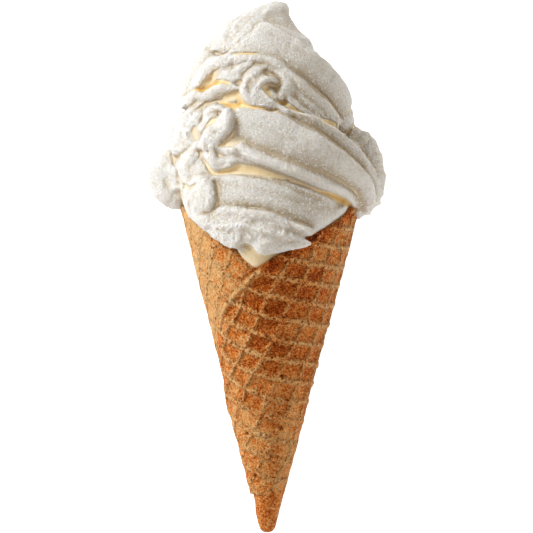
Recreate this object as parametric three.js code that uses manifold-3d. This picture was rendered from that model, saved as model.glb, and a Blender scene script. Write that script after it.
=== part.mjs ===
// Soft serve ice cream in a rolled waffle cone, lying on its back.
// Millimetres. The two pieces are formed upright, with the cone's tip at the origin and
// its axis along +Z, then the whole is laid down with its shown side facing +Z.
import * as THREE from "three";
import { mergeVertices } from "three/addons/utils/BufferGeometryUtils.js";
import Module from "manifold-3d";

const wasm = await Module();
wasm.setup();

const DEG = Math.PI / 180;

// ---- the rolled wafer -------------------------------------------------------------
const HALF_ANGLE = 14.2 * DEG; // between the cone's axis and its side
const APEX_DROP = 10; // the sides would meet this far under the blunt tip
const SHEET = 2.0; // thickness of the baked wafer
const ROLL_GAP = 0.3; // free space between two turns of the roll
const PITCH = SHEET + ROLL_GAP; // radius gained by one full turn
const ROLL_CENTRE = 172 * DEG; // bearing of the wafer's middle line, nearly at the back
const ROLL_REACH = 330 * DEG; // the wafer wraps this far either way from its middle
const ROLL_STEP = 7.5 * DEG; // angle between two neighbouring columns of the roll
const RIM_BACK = 136.1; // length of the wafer's middle line, from the virtual apex
const RIM_FALL = 82.8; // how fast the oval wafer's rim falls away from the middle
const RIM_CURVE = 64.8; // and how that fall grows
const RIM_ROUND = 0.5; // the rim's edge bulges this much
const RIM_FULLER = 4.2; // the side that ends up inside is fuller by this much
const FULLER_AT = -120 * DEG; // at this turn from the middle line
const FULLER_WIDTH = 38 * DEG; // and fades over this turn either way
const SIDE_SHIFT = 0.35; // the roll's axis lies this far right of the soft serve's
const ROLL_FOOT = 22; // slant distance where the roll opens out of the solid tip
const ROLL_ROWS = 4; // rows of the roll from foot to rim
const TIP_TOP = 25; // slant distance up to which the tip is solid
const TIP_INSET = 0.08; // the solid tip stands this little inside the outer turn
const PRESS_FROM = 15; // slant distance under which the turns are pressed tightest
const PRESS_TO = 110; // and above which they are loose
const PRESS_THIN = 0.45; // share of its thickness the wafer keeps where pressed
const PRESS_IN = 0.9; // the pressed turns lie this much nearer to the axis
const ROLL_SWELL = 0.35; // the loose turns stand this much further out

// ---- the soft serve ---------------------------------------------------------------
const CLEAR = 0.3; // free space between the soft serve and the wafer
const PLUG_FOOT = 16; // the filling reaches down to this height
const PLUG_SUNK = 0.8; // and ends this much under the wafer's rim
const CORE = [
  [98, 20], [106, 25], [116, 29], [134, 30], [146, 27], [158, 23], [168, 20],
]; // height and radius of the middle of the swirl
const PEAK = [
  [168, 20, -1.5], [174, 18.5, -2], [178.5, 16, -2.2], [182.5, 12.8, -2.5], [185.8, 10.2, -1.6],
  [187.6, 7.6, 0.8], [189.2, 5, 2.6], [190.4, 3.2, 4.2], [191, 1.4, 4.4],
]; // height, radius and sideways shift of the drawn-up end of the swirl
const SECTIONS = 13; // sections along a band or a lobe
const LOBE_SIDES = 10; // corners of a lobe's section

// A band is a fold of the swirl between an upper and a lower ridge. Both are given at
// five bearings from left to right; bearing 0 is the shown side and 90 the right.
const BANDS = [
  { name: "front lobe", from: -60, to: 70, hollow: 1.2, edge: 2.8, deep: 14,
    top: [126.5, 128.3, 127.3, 122.5, 116], topReach: [31, 31.5, 31.5, 31, 30],
    low: [117, 115.5, 113.5, 109.5, 110.5], lowReach: [32, 33.8, 34, 32.5, 30.6] },
  { name: "drape", from: -50, to: 44, hollow: -0.6, edge: 2.4, deep: 13,
    top: [115.5, 117, 115, 112, 108], topReach: [31.8, 33.2, 33.4, 32.4, 31.4],
    low: [107, 103.3, 101.4, 102.6, 103], lowReach: [31, 30.6, 30.6, 31, 31] },
  { name: "second band", from: -42, to: 88, hollow: 1.4, edge: 2.8, deep: 15,
    top: [151.5, 152.4, 147.6, 137, 117], topReach: [28, 30.8, 33.4, 37, 40],
    low: [139, 135.8, 130.4, 124.5, 113], lowReach: [32, 35.4, 36, 36, 35] },
  { name: "back band", from: 2, to: 112, hollow: 0.6, edge: 2.6, deep: 14,
    top: [151, 147.8, 141.5, 130, 120], topReach: [27, 33, 38, 42, 42],
    low: [146, 140, 131, 117, 110], lowReach: [28, 32, 36, 38, 38] },
  { name: "left fold", from: -150, to: -26, hollow: 0.4, edge: 3.2, deep: 15,
    top: [149, 150.5, 151.5, 151.5, 150], topReach: [30, 32.6, 33.6, 32.4, 29.5],
    low: [131, 132, 134, 136, 138], lowReach: [33, 35.4, 36.4, 35, 32.6] },
  { name: "left hem", from: -100, to: -40, hollow: 0.2, edge: 3, deep: 14,
    top: [138, 138, 138, 137, 134], topReach: [30, 32, 33.4, 33, 31],
    low: [118, 116, 115, 114, 115], lowReach: [30.5, 32, 33.2, 33, 32] },
  { name: "arch", from: -76, to: 76, hollow: 1.0, edge: 2.6, deep: 13,
    top: [154, 169.5, 171, 161, 148], topReach: [33, 29, 27.4, 27.4, 27.6],
    low: [145, 149, 151, 148, 143], lowReach: [33.5, 31, 29.4, 29, 28.4] },
  { name: "left rise", from: -160, to: -36, hollow: 0.6, edge: 3.4, deep: 14,
    top: [170, 172.6, 173.4, 172.6, 170], topReach: [26, 28.4, 29, 28, 25],
    low: [150, 149.4, 149.4, 151, 154], lowReach: [30, 32.8, 33.8, 32.6, 30] },
  { name: "crown fold", from: -170, to: -16, hollow: 0.4, edge: 3, deep: 10,
    top: [182, 183.5, 184.5, 184.5, 184], topReach: [12, 14.4, 15, 14, 13],
    low: [171, 172, 173, 173, 174], lowReach: [22, 24.6, 25.4, 24, 21] },
  { name: "top face", from: -46, to: 106, hollow: 0.9, edge: 3.2, deep: 12,
    top: [179, 183.8, 178.8, 168.6, 157], topReach: [16.5, 17.2, 20.4, 27.2, 31],
    low: [171, 170, 163, 152, 146.5], lowReach: [22, 24, 25.4, 30.4, 30.4] },
];

// A lobe is a rope laid round the axis, from one bearing to another; height and reach
// are those of its middle line.
const LOBES = [
  { name: "bottom ring", from: 40, to: 316, height: [129, 126], sag: -1, reach: [28.7, 32.6],
    deep: [16, 12.2], tall: [17, 11.5], lean: 0 },
  { name: "second ring", from: 86, to: 250, height: [143, 142], sag: 2, reach: [17, 19],
    deep: [16, 15], tall: [12, 12], lean: 0 },
  { name: "third ring", from: 70, to: 240, height: [156, 160], sag: 1, reach: [15.6, 15],
    deep: [16, 15], tall: [12.5, 13], lean: 0 },
];

// A curl is a thin rope bent into a hook that lies on the shown face. Side and height
// place the hook's middle, depth is how far it lies towards the shown side.
const CURLS = [
  { name: "top hook", side: -3.6, height: 159, depth: 28.4, size: 5.2, from: 78, to: 290,
    girth: 2.6, slope: 0.1 },
  { name: "middle hook", side: -15.8, height: 146.5, depth: 29, size: 5.0, from: -40, to: 180,
    girth: 3, slope: 0.3 },
  { name: "low hook", side: -23.2, height: 122, depth: 22.5, size: 4.4, from: 0, to: 190,
    girth: 2.6, slope: 0.2 },
];

// ---- how it lies ------------------------------------------------------------------
const LIE = 16.1 * DEG; // the axis rises this much from the tip to the soft serve

// ---- small helpers ----------------------------------------------------------------
const mix = (a, b, t) => a + (b - a) * t;

function solidOf(points, faces) {
  const mesh = new wasm.Mesh({
    numProp: 3,
    vertProperties: new Float32Array(points.flat()),
    triVerts: new Uint32Array(faces.flat()),
  });
  mesh.merge();
  return new wasm.Manifold(mesh);
}

// A closed skin of rings, with a single point at either end.
function skinOf(rings, first, last) {
  const count = rings[0].length;
  const points = [first, ...rings.flat(), last];
  const end = points.length - 1;
  const at = (ring, k) => 1 + ring * count + (k % count);
  const faces = [];
  for (let k = 0; k < count; k += 1) {
    faces.push([0, at(0, k + 1), at(0, k)]);
    faces.push([end, at(rings.length - 1, k), at(rings.length - 1, k + 1)]);
    for (let ring = 0; ring + 1 < rings.length; ring += 1) {
      faces.push([at(ring, k), at(ring, k + 1), at(ring + 1, k + 1)]);
      faces.push([at(ring, k), at(ring + 1, k + 1), at(ring + 1, k)]);
    }
  }
  const solid = solidOf(points, faces);
  if (solid.volume() > 0) {
    return solid;
  }
  return solidOf(points, faces.map(([a, b, c]) => [a, c, b]));
}

function polar(radius, bearing, height) {
  return [radius * Math.sin(bearing), -radius * Math.cos(bearing), height];
}

function latheOf(profile, corners) {
  const rings = profile.map(([height, radius, shift = 0]) => {
    const ring = [];
    for (let k = 0; k < corners; k += 1) {
      const [x, y, z] = polar(radius, (2 * Math.PI * k) / corners, height);
      ring.push([x + shift, y, z]);
    }
    return ring;
  });
  const low = profile[0];
  const high = profile[profile.length - 1];
  return skinOf(rings, [low[2] ?? 0, 0, low[0]], [high[2] ?? 0, 0, high[0]]);
}

// ---- the wafer --------------------------------------------------------------------
// Slant distance of the wafer's rim at a turn, counted from its middle line.
function rimAt(turn) {
  const s = 1 - Math.cos(turn * Math.sin(HALF_ANGLE));
  const fuller = RIM_FULLER * Math.exp(-(((turn - FULLER_AT) / FULLER_WIDTH) ** 2));
  return Math.max(RIM_BACK - RIM_FALL * s - RIM_CURVE * s * s + fuller, ROLL_FOOT + 2);
}

// How loosely the turns lie at a slant distance: 0 near the tip, 1 in the upper part.
function looseAt(slant) {
  const t = Math.min(Math.max((slant - PRESS_FROM) / (PRESS_TO - PRESS_FROM), 0), 1);
  return t * t * (3 - 2 * t);
}

// A point of the wafer: slant distance, turn, and share of its thickness in from its
// outer face, which may be grown outward by a length.
function waferPoint(slant, turn, share, grow = 0) {
  const loose = looseAt(slant);
  const scale = mix(PRESS_THIN, 1, loose);
  const pressed = slant * Math.sin(HALF_ANGLE) + ROLL_SWELL - PRESS_IN * (1 - loose);
  const radius = pressed + (PITCH * scale * turn) / (2 * Math.PI);
  const depth = share * SHEET * scale - grow;
  const inward = Math.max(radius - depth * Math.cos(HALF_ANGLE), 0.3);
  const height = slant * Math.cos(HALF_ANGLE) - APEX_DROP + depth * Math.sin(HALF_ANGLE);
  const [x, y, z] = polar(inward, ROLL_CENTRE - turn, height);
  return [x + SIDE_SHIFT, y, z];
}

// The wafer from one turn to another, grown outward on every side.
function roll(fromTurn, toTurn, grow) {
  const columns = Math.round((toTurn - fromTurn) / ROLL_STEP);
  const rings = [];
  for (let c = 0; c <= columns; c += 1) {
    const turn = mix(fromTurn, toTurn, c / columns);
    const rim = rimAt(turn) + grow;
    const foot = ROLL_FOOT - grow;
    const ring = [];
    for (let r = 0; r <= ROLL_ROWS; r += 1) {
      ring.push(waferPoint(mix(foot, rim, r / ROLL_ROWS), turn, 0, grow));
    }
    ring.push(waferPoint(rim + RIM_ROUND, turn, 0.3));
    ring.push(waferPoint(rim + RIM_ROUND, turn, 0.7));
    for (let r = ROLL_ROWS; r >= 0; r -= 1) {
      ring.push(waferPoint(mix(foot, rim, r / ROLL_ROWS), turn, 1, -grow));
    }
    rings.push(ring);
  }
  const middle = (ring) => {
    const inner = ring[ring.length - 2];
    return ring[1].map((value, axis) => (value + inner[axis]) / 2);
  };
  return skinOf(rings, middle(rings[0]), middle(rings[rings.length - 1]));
}

// The blunt solid tip under the roll. It carries the roll's outer turn on down to the
// end, so the wafer's last edge runs out over it as a low step.
function tip(grow, top) {
  const low = APEX_DROP / Math.cos(HALF_ANGLE);
  const levels = [[0, 0.42], [0.5, 0.76], [1.5, 0.98]].map(([height, share]) => ({
    slant: low + height, share, height: height - grow,
  }));
  const steps = 4;
  for (let k = 1; k <= steps; k += 1) {
    const slant = mix(low + 1.5, top, k / steps);
    levels.push({ slant, share: 1, height: slant * Math.cos(HALF_ANGLE) - APEX_DROP });
  }
  const turns = Math.round((2 * Math.PI) / ROLL_STEP);
  const rings = levels.map(({ slant, share, height }) => {
    const ring = [];
    for (let k = 0; k < turns; k += 1) {
      const turn = ROLL_REACH - (k + 0.5) * ROLL_STEP;
      const [x, y] = waferPoint(slant, turn, 0, grow - TIP_INSET);
      ring.push([x * share, y * share, height]);
    }
    return ring;
  });
  const ends = [levels[0], levels[levels.length - 1]].map(({ height }) => [SIDE_SHIFT, 0, height]);
  return skinOf(rings, ends[0], ends[1]);
}

const waferCone = roll(-ROLL_REACH, ROLL_REACH, 0).add(tip(0, TIP_TOP));

// ---- the soft serve ---------------------------------------------------------------
// The filling reaches into the middle of the wafer's thickness, which is cut away later.
function filling() {
  const rings = [];
  const levels = 5;
  const turns = Math.round((2 * Math.PI) / ROLL_STEP);
  const foot = (PLUG_FOOT + APEX_DROP) / Math.cos(HALF_ANGLE);
  for (let level = 0; level <= levels; level += 1) {
    const ring = [];
    for (let k = 0; k < turns; k += 1) {
      const turn = -Math.PI + (k + 0.5) * ROLL_STEP;
      const slant = mix(foot, rimAt(turn) - PLUG_SUNK, level / levels);
      ring.push(waferPoint(slant, turn, 0.5));
    }
    rings.push(ring);
  }
  return skinOf(rings, [0, 0, PLUG_FOOT], [0, 0, CORE[1][0]]);
}

// A smooth value through five evenly spaced ones.
function through(values, t) {
  const at = t * (values.length - 1);
  const i = Math.min(Math.floor(at), values.length - 2);
  const f = at - i;
  const get = (k) => values[Math.min(Math.max(k, 0), values.length - 1)];
  const [a, b, c, d] = [get(i - 1), get(i), get(i + 1), get(i + 2)];
  const curve = 2 * a - 5 * b + 4 * c - d + (3 * b - 3 * c + d - a) * f;
  return b + 0.5 * f * (c - a + f * curve);
}

// Position along a band or a lobe, closer together towards its ends, and how full the
// section is there: the ends are rounded off.
function stationAt(i) {
  const t = 0.5 - 0.5 * Math.cos((Math.PI * (i + 0.5)) / (SECTIONS + 1));
  return { t, full: Math.pow(1 - Math.pow(Math.abs(2 * t - 1), 3), 0.5) };
}

function bandSection(shape, t) {
  const high = through(shape.top, t);
  const low = through(shape.low, t);
  const highReach = through(shape.topReach, t);
  const lowReach = through(shape.lowReach, t);
  const edge = Math.min(shape.edge, (high - low) * 0.3);
  const inside = Math.min(highReach, lowReach) - shape.deep;
  const face = (share) => [
    mix(highReach, lowReach, share) - shape.hollow,
    mix(high - 0.3 * edge, low + 0.3 * edge, share),
  ];
  return [
    [inside, mix(high, low, 0.2)],
    [highReach - 1.7 * edge, high + 0.1 * edge],
    [highReach - 0.6 * edge, high],
    [highReach, high - 0.6 * edge],
    face(0.35),
    face(0.65),
    [lowReach, low + 0.6 * edge],
    [lowReach - 0.6 * edge, low],
    [lowReach - 1.7 * edge, low - 0.1 * edge],
    [inside, mix(high, low, 0.8)],
  ];
}

function band(shape) {
  const rings = [];
  const bearingAt = (t) => mix(shape.from, shape.to, t) * DEG;
  const middleAt = (t) => {
    const section = bandSection(shape, t);
    return [0, 1].map((axis) => section.reduce((sum, p) => sum + p[axis], 0) / section.length);
  };
  for (let i = 0; i <= SECTIONS; i += 1) {
    const { t, full } = stationAt(i);
    const [r, h] = middleAt(t);
    const ring = bandSection(shape, t).map(([reach, height]) =>
      polar(mix(r, reach, full), bearingAt(t), mix(h, height, full)));
    rings.push(ring);
  }
  const endOf = (t) => {
    const [r, h] = middleAt(t);
    return polar(r, bearingAt(t), h);
  };
  return skinOf(rings, endOf(0), endOf(1));
}

// A rope round the axis with an oval section that leans.
function lobe({ from, to, height, sag, reach, deep, tall, lean }) {
  const rings = [];
  const point = (t, u, v) => {
    const middle = mix(height[0], height[1], t) + sag * Math.sin(Math.PI * t);
    return polar(mix(reach[0], reach[1], t) + u, mix(from, to, t) * DEG, middle + v);
  };
  const c = Math.cos(lean * DEG);
  const s = Math.sin(lean * DEG);
  for (let i = 0; i <= SECTIONS; i += 1) {
    const { t, full } = stationAt(i);
    const ring = [];
    for (let k = 0; k < LOBE_SIDES; k += 1) {
      const a = (2 * Math.PI * k) / LOBE_SIDES;
      const u = mix(deep[0], deep[1], t) * full * Math.cos(a);
      const v = mix(tall[0], tall[1], t) * full * Math.sin(a);
      ring.push(point(t, u * c - v * s, u * s + v * c));
    }
    rings.push(ring);
  }
  return skinOf(rings, point(0, 0, 0), point(1, 0, 0));
}

// A thin rope bent into a hook that lies on the shown face.
function curl({ side, height, depth, size, from, to, girth, slope }) {
  const rings = [];
  const sections = 11;
  const sides = 8;
  const path = (t) => {
    const a = mix(from, to, t) * DEG;
    const open = size * mix(1, 1.25, t);
    const x = side + open * Math.cos(a);
    const z = height + open * 0.9 * Math.sin(a);
    return new THREE.Vector3(x, -depth - slope * (height - z), z);
  };
  for (let i = 0; i <= sections; i += 1) {
    const t = i / sections;
    const here = path(t);
    const along = path(Math.min(t + 0.01, 1.01)).sub(path(t - 0.01)).normalize();
    const out = new THREE.Vector3(0, -1, 0);
    const across = new THREE.Vector3().crossVectors(along, out).normalize();
    const round = girth * Math.sqrt(Math.max(1 - Math.pow(Math.abs(2 * t - 1), 4), 0.06));
    const ring = [];
    for (let k = 0; k < sides; k += 1) {
      const a = (2 * Math.PI * k) / sides;
      const p = here.clone();
      p.addScaledVector(across, round * Math.cos(a));
      p.addScaledVector(out, round * 1.5 * Math.sin(a));
      ring.push(p.toArray());
    }
    rings.push(ring);
  }
  return skinOf(rings, path(0).toArray(), path(1).toArray());
}

let serve = filling().add(latheOf(CORE, 24)).add(latheOf(PEAK, 24));
for (const shape of BANDS) {
  serve = serve.add(band(shape));
}
for (const shape of LOBES) {
  serve = serve.add(lobe(shape));
}
for (const shape of CURLS) {
  serve = serve.add(curl(shape));
}
const seam = 4 * ROLL_STEP;
serve = serve.subtract(roll(-ROLL_REACH - ROLL_STEP, seam, CLEAR));
serve = serve.subtract(roll(-seam, ROLL_REACH + ROLL_STEP, CLEAR));
serve = serve.subtract(tip(CLEAR, TIP_TOP + CLEAR));

// ---- laying it down ---------------------------------------------------------------
const tilt = [-90 + LIE / DEG, 0, 0];
let coneLying = waferCone.rotate(tilt);
let serveLying = serve.rotate(tilt);
const coneFoot = coneLying.boundingBox().min[2];
coneLying = coneLying.translate([0, 0, -coneFoot]);
serveLying = serveLying.translate([0, 0, -coneFoot]);
serveLying = serveLying.trimByPlane([0, 0, 1], 0);
const bits = serveLying.decompose();
serveLying = bits.sort((a, b) => b.volume() - a.volume())[0];
const whole = coneLying.add(serveLying).boundingBox();
const centre = [-(whole.min[0] + whole.max[0]) / 2, -(whole.min[1] + whole.max[1]) / 2, 0];
coneLying = coneLying.translate(centre);
serveLying = serveLying.translate(centre);

// ---- materials and the group ------------------------------------------------------
const cream = new THREE.MeshStandardMaterial({ color: 0xf3ecdf, roughness: 0.55, metalness: 0 });
const wafer = new THREE.MeshStandardMaterial({ color: 0xc07b3c, roughness: 0.75, metalness: 0 });

function meshOf(solid, material, name) {
  const data = solid.getMesh();
  const count = data.vertProperties.length / data.numProp;
  const points = new Float32Array(count * 3);
  for (let i = 0; i < count; i += 1) {
    for (let axis = 0; axis < 3; axis += 1) {
      points[i * 3 + axis] = data.vertProperties[i * data.numProp + axis];
    }
  }
  let geometry = new THREE.BufferGeometry();
  geometry.setAttribute("position", new THREE.BufferAttribute(points, 3));
  geometry.setIndex(new THREE.BufferAttribute(new Uint32Array(data.triVerts), 1));
  geometry = mergeVertices(geometry, 1e-5);
  const mesh = new THREE.Mesh(geometry, material);
  mesh.name = name;
  return mesh;
}

const group = new THREE.Group();
group.name = "soft_serve_waffle_cone";
group.add(meshOf(serveLying, cream, "soft_serve"));
group.add(meshOf(coneLying, wafer, "waffle_cone"));

export default group;
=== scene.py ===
# %% [markdown]
# # A soft serve ice cream in a rolled waffle cone
# The object is two pieces of food: one rolled, baked wafer and one long swirl of soft ice
# cream that fills it and stands above it. It lies on its back on a pale table top, and the
# camera looks down on it. This notebook makes each piece as a surface worked out with
# numpy, gives both their finishes, and then lights and frames them.

import bpy
import numpy as np
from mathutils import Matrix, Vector


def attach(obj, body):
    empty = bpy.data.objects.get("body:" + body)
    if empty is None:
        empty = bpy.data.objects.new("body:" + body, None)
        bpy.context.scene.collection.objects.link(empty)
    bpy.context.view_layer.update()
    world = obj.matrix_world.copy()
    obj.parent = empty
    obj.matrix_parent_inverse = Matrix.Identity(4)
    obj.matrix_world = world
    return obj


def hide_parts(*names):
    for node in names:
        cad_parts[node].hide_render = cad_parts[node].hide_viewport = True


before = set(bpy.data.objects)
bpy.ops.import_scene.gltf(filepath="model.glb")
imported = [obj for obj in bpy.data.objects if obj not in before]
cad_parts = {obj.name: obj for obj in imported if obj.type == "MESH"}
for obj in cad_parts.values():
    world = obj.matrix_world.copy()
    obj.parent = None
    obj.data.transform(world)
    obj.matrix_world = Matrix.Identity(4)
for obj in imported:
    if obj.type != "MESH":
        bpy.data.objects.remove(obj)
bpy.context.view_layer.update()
scene = bpy.context.scene

# %% [markdown]
# Both pieces are easiest to describe standing up: the cone's tip at the origin, its axis
# along +Z, the shown side towards -Y, all in millimetres. One function lays finished points
# down the way the solid model lies, tip and widest fold on the table, and turns them into
# metres.

# %% From upright millimetres to the table
# How far the axis rises from the table, and where the cone's tip comes to lie.
LIE = np.radians(16.1)
SEAT = np.array([-0.0261, -91.8086, 2.3053])
MM = 0.001


def lay(points):
    """Turns points about the X axis until the shown side faces up, then seats them."""
    x, y, z = np.asarray(points, float).T
    s, c = np.sin(LIE), np.cos(LIE)
    return (np.stack([x, y * s + z * c, z * s - y * c], axis=1) + SEAT) * MM


def polar(bearing, height, reach):
    """A point at a bearing (degrees, 0 is the shown side, 90 the right), height and reach."""
    b = np.radians(bearing)
    return np.stack(np.broadcast_arrays(reach * np.sin(b), -reach * np.cos(b), height), axis=-1)


# %% [markdown]
# Places on the shown side are given as the camera sees them. It is a metre away, so what
# stands 30 mm nearer than the axis looks three hundredths larger; two small functions go
# from places as seen to true places and back.

# %% True places and seen places
# The middle of the view, and the camera's distance from the axis.
MIDDLE = np.array([-0.18, 0.0, 95.6])
AWAY = 1000.0


def true_place(points):
    """Draws side and height in towards the middle of the view by the share that the point
    is nearer than the axis; points behind the axis stay."""
    share = 1 + np.minimum(points[..., 1:2], 0) / AWAY
    return points * [0, 1, 0] + (MIDDLE + (points - MIDDLE) * share) * [1, 0, 1]


def seen_place(points):
    """The opposite of true_place."""
    share = 1 + np.minimum(points[..., 1:2], 0) / AWAY
    return points * [0, 1, 0] + (MIDDLE + (points - MIDDLE) / share) * [1, 0, 1]


# %% [markdown]
# Lines and outlines that are drawn are counted on a grid of small squares, columns
# from left to right and rows from the top down, which covers what the camera sees.

# %% The drawing grid
SQUARE = 0.36
SQUARES = 533
MIDDLE_COLUMN, TIP_ROW = 267, 532


def drawn(column, row):
    """Side and height in millimetres of a place on the drawing grid."""
    return (column - MIDDLE_COLUMN) * SQUARE, (TIP_ROW - row) * SQUARE


print("the drawing grid is", SQUARE * SQUARES, "mm wide")

# %% [markdown]
# Nothing here is smooth for long: ice cream is foamy and wafer is porous. A lattice of
# random numbers, blended smoothly between its corners, gives hills of one size anywhere in
# space. Several sizes added up give a natural roughness.

# %% Random hills
def hills(points, size, seed=0):
    """Value noise: each lattice corner has a fixed random number from -1 to 1, and a point
    takes the smoothly weighted mean of the eight corners round it."""
    q = np.asarray(points, float) / size + 31.7 * seed
    cell = np.floor(q).astype(np.int64)
    f = q - cell
    f = f * f * (3 - 2 * f)
    total = np.zeros(len(q))
    for corner in range(8):
        step = np.array([corner & 1, corner >> 1 & 1, corner >> 2 & 1])
        c = cell + step
        key = (c[:, 0] * 73856093) ^ (c[:, 1] * 19349663) ^ (c[:, 2] * 83492791) ^ (seed * 2654435)
        key = (key ^ (key >> 13)) * 1274126177 & 0x7FFFFFFF
        key = (key ^ (key >> 15)) * 69069 & 0x7FFFFFFF
        weight = np.prod(np.where(step == 1, f, 1 - f), axis=1)
        total += weight * ((key >> 7 & 0xFFFF) / 32767.5 - 1)
    return total


def ease(x, low, high):
    """0 below low, 1 above high, and a smooth slope between."""
    t = np.clip((np.asarray(x, float) - low) / (high - low), 0, 1)
    return t * t * (3 - 2 * t)


# %% [markdown]
# Lines that somebody would draw by hand, such as the crest of a fold, are given by a few
# stations. A curve through them at evenly spaced parameters gives as many samples as a
# mesh needs.

# %% A curve through stations
def through(stations, where):
    """Catmull-Rom curve: between two stations the curve is the cubic that passes through
    both and takes its slope at each from the stations on either side. Where runs from 0 at
    the first station to 1 at the last; a number asks for that many even steps."""
    s = np.asarray(stations, float)
    s = s[:, None] if s.ndim == 1 else s
    where = np.linspace(0, 1, where) if np.ndim(where) == 0 else np.asarray(where)
    at = where * (len(s) - 1)
    i = np.minimum(at.astype(int), len(s) - 2)
    f = (at - i)[:, None]
    p = np.vstack([2 * s[0] - s[1], s, 2 * s[-1] - s[-2]])
    a, b, c, d = p[i], p[i + 1], p[i + 2], p[i + 3]
    return b + 0.5 * f * (c - a + f * (2 * a - 5 * b + 4 * c - d + f * (3 * b - 3 * c + d - a)))


# %% [markdown]
# Every closed shape here is a stack of rings. The steps between rings crowd towards the
# ends, where the section shrinks fastest, and one helper skins any such stack.

# %% Rings to a closed shape
def rounding(count, power):
    """Steps from 0 to 1 that crowd towards both ends, and the share of its full size that a
    section has there: with u running from -1 to 1 it is the square root of 1 - |u|^power."""
    u = np.sin(np.linspace(-1, 1, count) * np.pi / 2 * 0.985)
    return (u + 1) / 2, np.sqrt(1 - np.abs(u) ** power)


def closed(rings):
    """Skins a stack of rings, an array rings x corners x 3, and closes it with a point at
    either end. Gives vertices and faces."""
    n, m = rings.shape[:2]
    verts = np.vstack([rings.reshape(-1, 3), rings[0].mean(0), rings[-1].mean(0)])
    i, k = np.meshgrid(np.arange(n - 1), np.arange(m), indexing="ij")
    k2 = (k + 1) % m
    quads = np.stack([i * m + k, i * m + k2, (i + 1) * m + k2, (i + 1) * m + k], axis=-1).reshape(-1, 4)
    k, k2 = np.arange(m), (np.arange(m) + 1) % m
    low = np.stack([k2, k, np.full(m, n * m)], axis=-1)
    high = np.stack([(n - 1) * m + k, (n - 1) * m + k2, np.full(m, n * m + 1)], axis=-1)
    return verts, quads.tolist() + low.tolist() + high.tolist()


# %% Arrays to a mesh and back
def mesh_from(parts, name):
    """Puts one or more (vertices, faces) into a single new mesh."""
    verts, faces, start = [], [], 0
    for v, f in parts:
        verts.append(v)
        faces += [[start + k for k in face] for face in f]
        start += len(v)
    mesh = bpy.data.meshes.new(name)
    mesh.from_pydata(np.vstack(verts).tolist(), [], faces)
    mesh.validate()
    return mesh


def points_of(mesh):
    """The mesh's vertices as an array."""
    out = np.empty(len(mesh.vertices) * 3, np.float32)
    mesh.vertices.foreach_get("co", out)
    return out.reshape(-1, 3).astype(float)


def move_points(mesh, points):
    """Gives the mesh's vertices new places."""
    mesh.vertices.foreach_set("co", points.astype(np.float32).ravel())
    mesh.update()


def add_values(mesh, name, values):
    """Adds one number for each vertex, which a finish can read."""
    attribute = mesh.attributes.new(name, "FLOAT", "POINT")
    attribute.data.foreach_set("value", values.astype(np.float32))


# %% [markdown]
# ## The waffle cone
# The wafer is an oval sheet, pressed with a grid of ribs while it bakes and rolled while it
# is hot. Rolling doesn't stretch it, so a place on the flat sheet, given by its distance
# from the cone's apex and the angle about it, goes to a place on the roll at the same
# distance, turned by that angle divided by the sine of the cone's half angle. That is why
# the grid can be drawn straight on the flat sheet and still run true round the cone.

# %% The flat sheet and the roll
# The cone's half angle, its apex below the blunt tip, the sheet's thickness, what one turn
# of the roll gains in radius, the turn that faces the front, and how far the roll's axis
# lies to the right.
HALF = np.radians(14.2)
APEX = 10.0
SHEET = 2.0
PITCH = 2.3
CENTRE = 172.0
ASIDE = 0.35


def rim(turn):
    """Distance from the apex to the oval sheet's edge, by the turn from its middle line. The
    oval is a little fuller on the side that ends up inside and has a blunt corner outside."""
    s = 1 - np.cos(np.radians(turn) * np.sin(HALF))
    fuller = 4.2 * np.exp(-(((turn + 120) / 38) ** 2)) + 2.4 * np.exp(-(((turn - 102) / 9) ** 2))
    return np.maximum(136.1 - 82.8 * s - 64.8 * s * s + fuller, 24.0)


def outer_radius(slant, turn):
    """Radius of the outer face, and the sheet's thickness there as a share of the full one.
    The turns lie one sheet and a little air apart, closer and thinner towards the tip."""
    loose = ease(slant, 15, 110)
    share = 0.45 + 0.55 * loose
    return slant * np.sin(HALF) + 0.35 - 0.9 * (1 - loose) + PITCH * share * turn / 360, share


def rolled(slant, turn, depth):
    """A place on the roll; depth goes in from the outer face, square to it."""
    radius = np.maximum(outer_radius(slant, turn)[0] - depth * np.cos(HALF), 0.3)
    height = slant * np.cos(HALF) - APEX + depth * np.sin(HALF)
    return polar(CENTRE - turn, height, radius) + np.array([ASIDE, 0, 0])


# %% [markdown]
# The grid: ribs in two directions, a little under eight millimetres apart, rounded on top,
# with sunken cells between. The iron pressed the upper part of the sheet deeper than the
# lower third. Batter never fills an iron evenly, so the lines wander a little.

# %% The pressed grid
# Which way rows and columns run on the flat sheet, how far apart they are, and the place on
# the sheet where the count starts.
ROW_WAY, ROW_PITCH = np.radians(155.3), 7.15
COLUMN_WAY, COLUMN_PITCH = np.radians(73.8), 8.0
START_U, START_V = 48.5, 61.5


def grid(slant, turn):
    """Place in the grid: columns and rows counted on the flat sheet, whole at cell centres,
    with a slow wander of a tenth of a cell."""
    angle = np.radians(turn) * np.sin(HALF)
    u, v = slant * np.sin(angle) - START_U, slant * np.cos(angle) - START_V
    row = (u * np.sin(ROW_WAY) - v * np.cos(ROW_WAY)) / ROW_PITCH
    column = (u * np.sin(COLUMN_WAY) - v * np.cos(COLUMN_WAY) - 1.0) / COLUMN_PITCH
    where = np.stack([u, v, 0 * u], axis=-1).reshape(-1, 3)

    def wander(size, seed):
        return hills(where, size, seed).reshape(row.shape)

    row = row + 0.10 * wander(13.0, 21) + 0.05 * wander(5.0, 22)
    column = column + 0.10 * wander(13.0, 23) + 0.05 * wander(5.0, 24)
    return column, row


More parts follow.
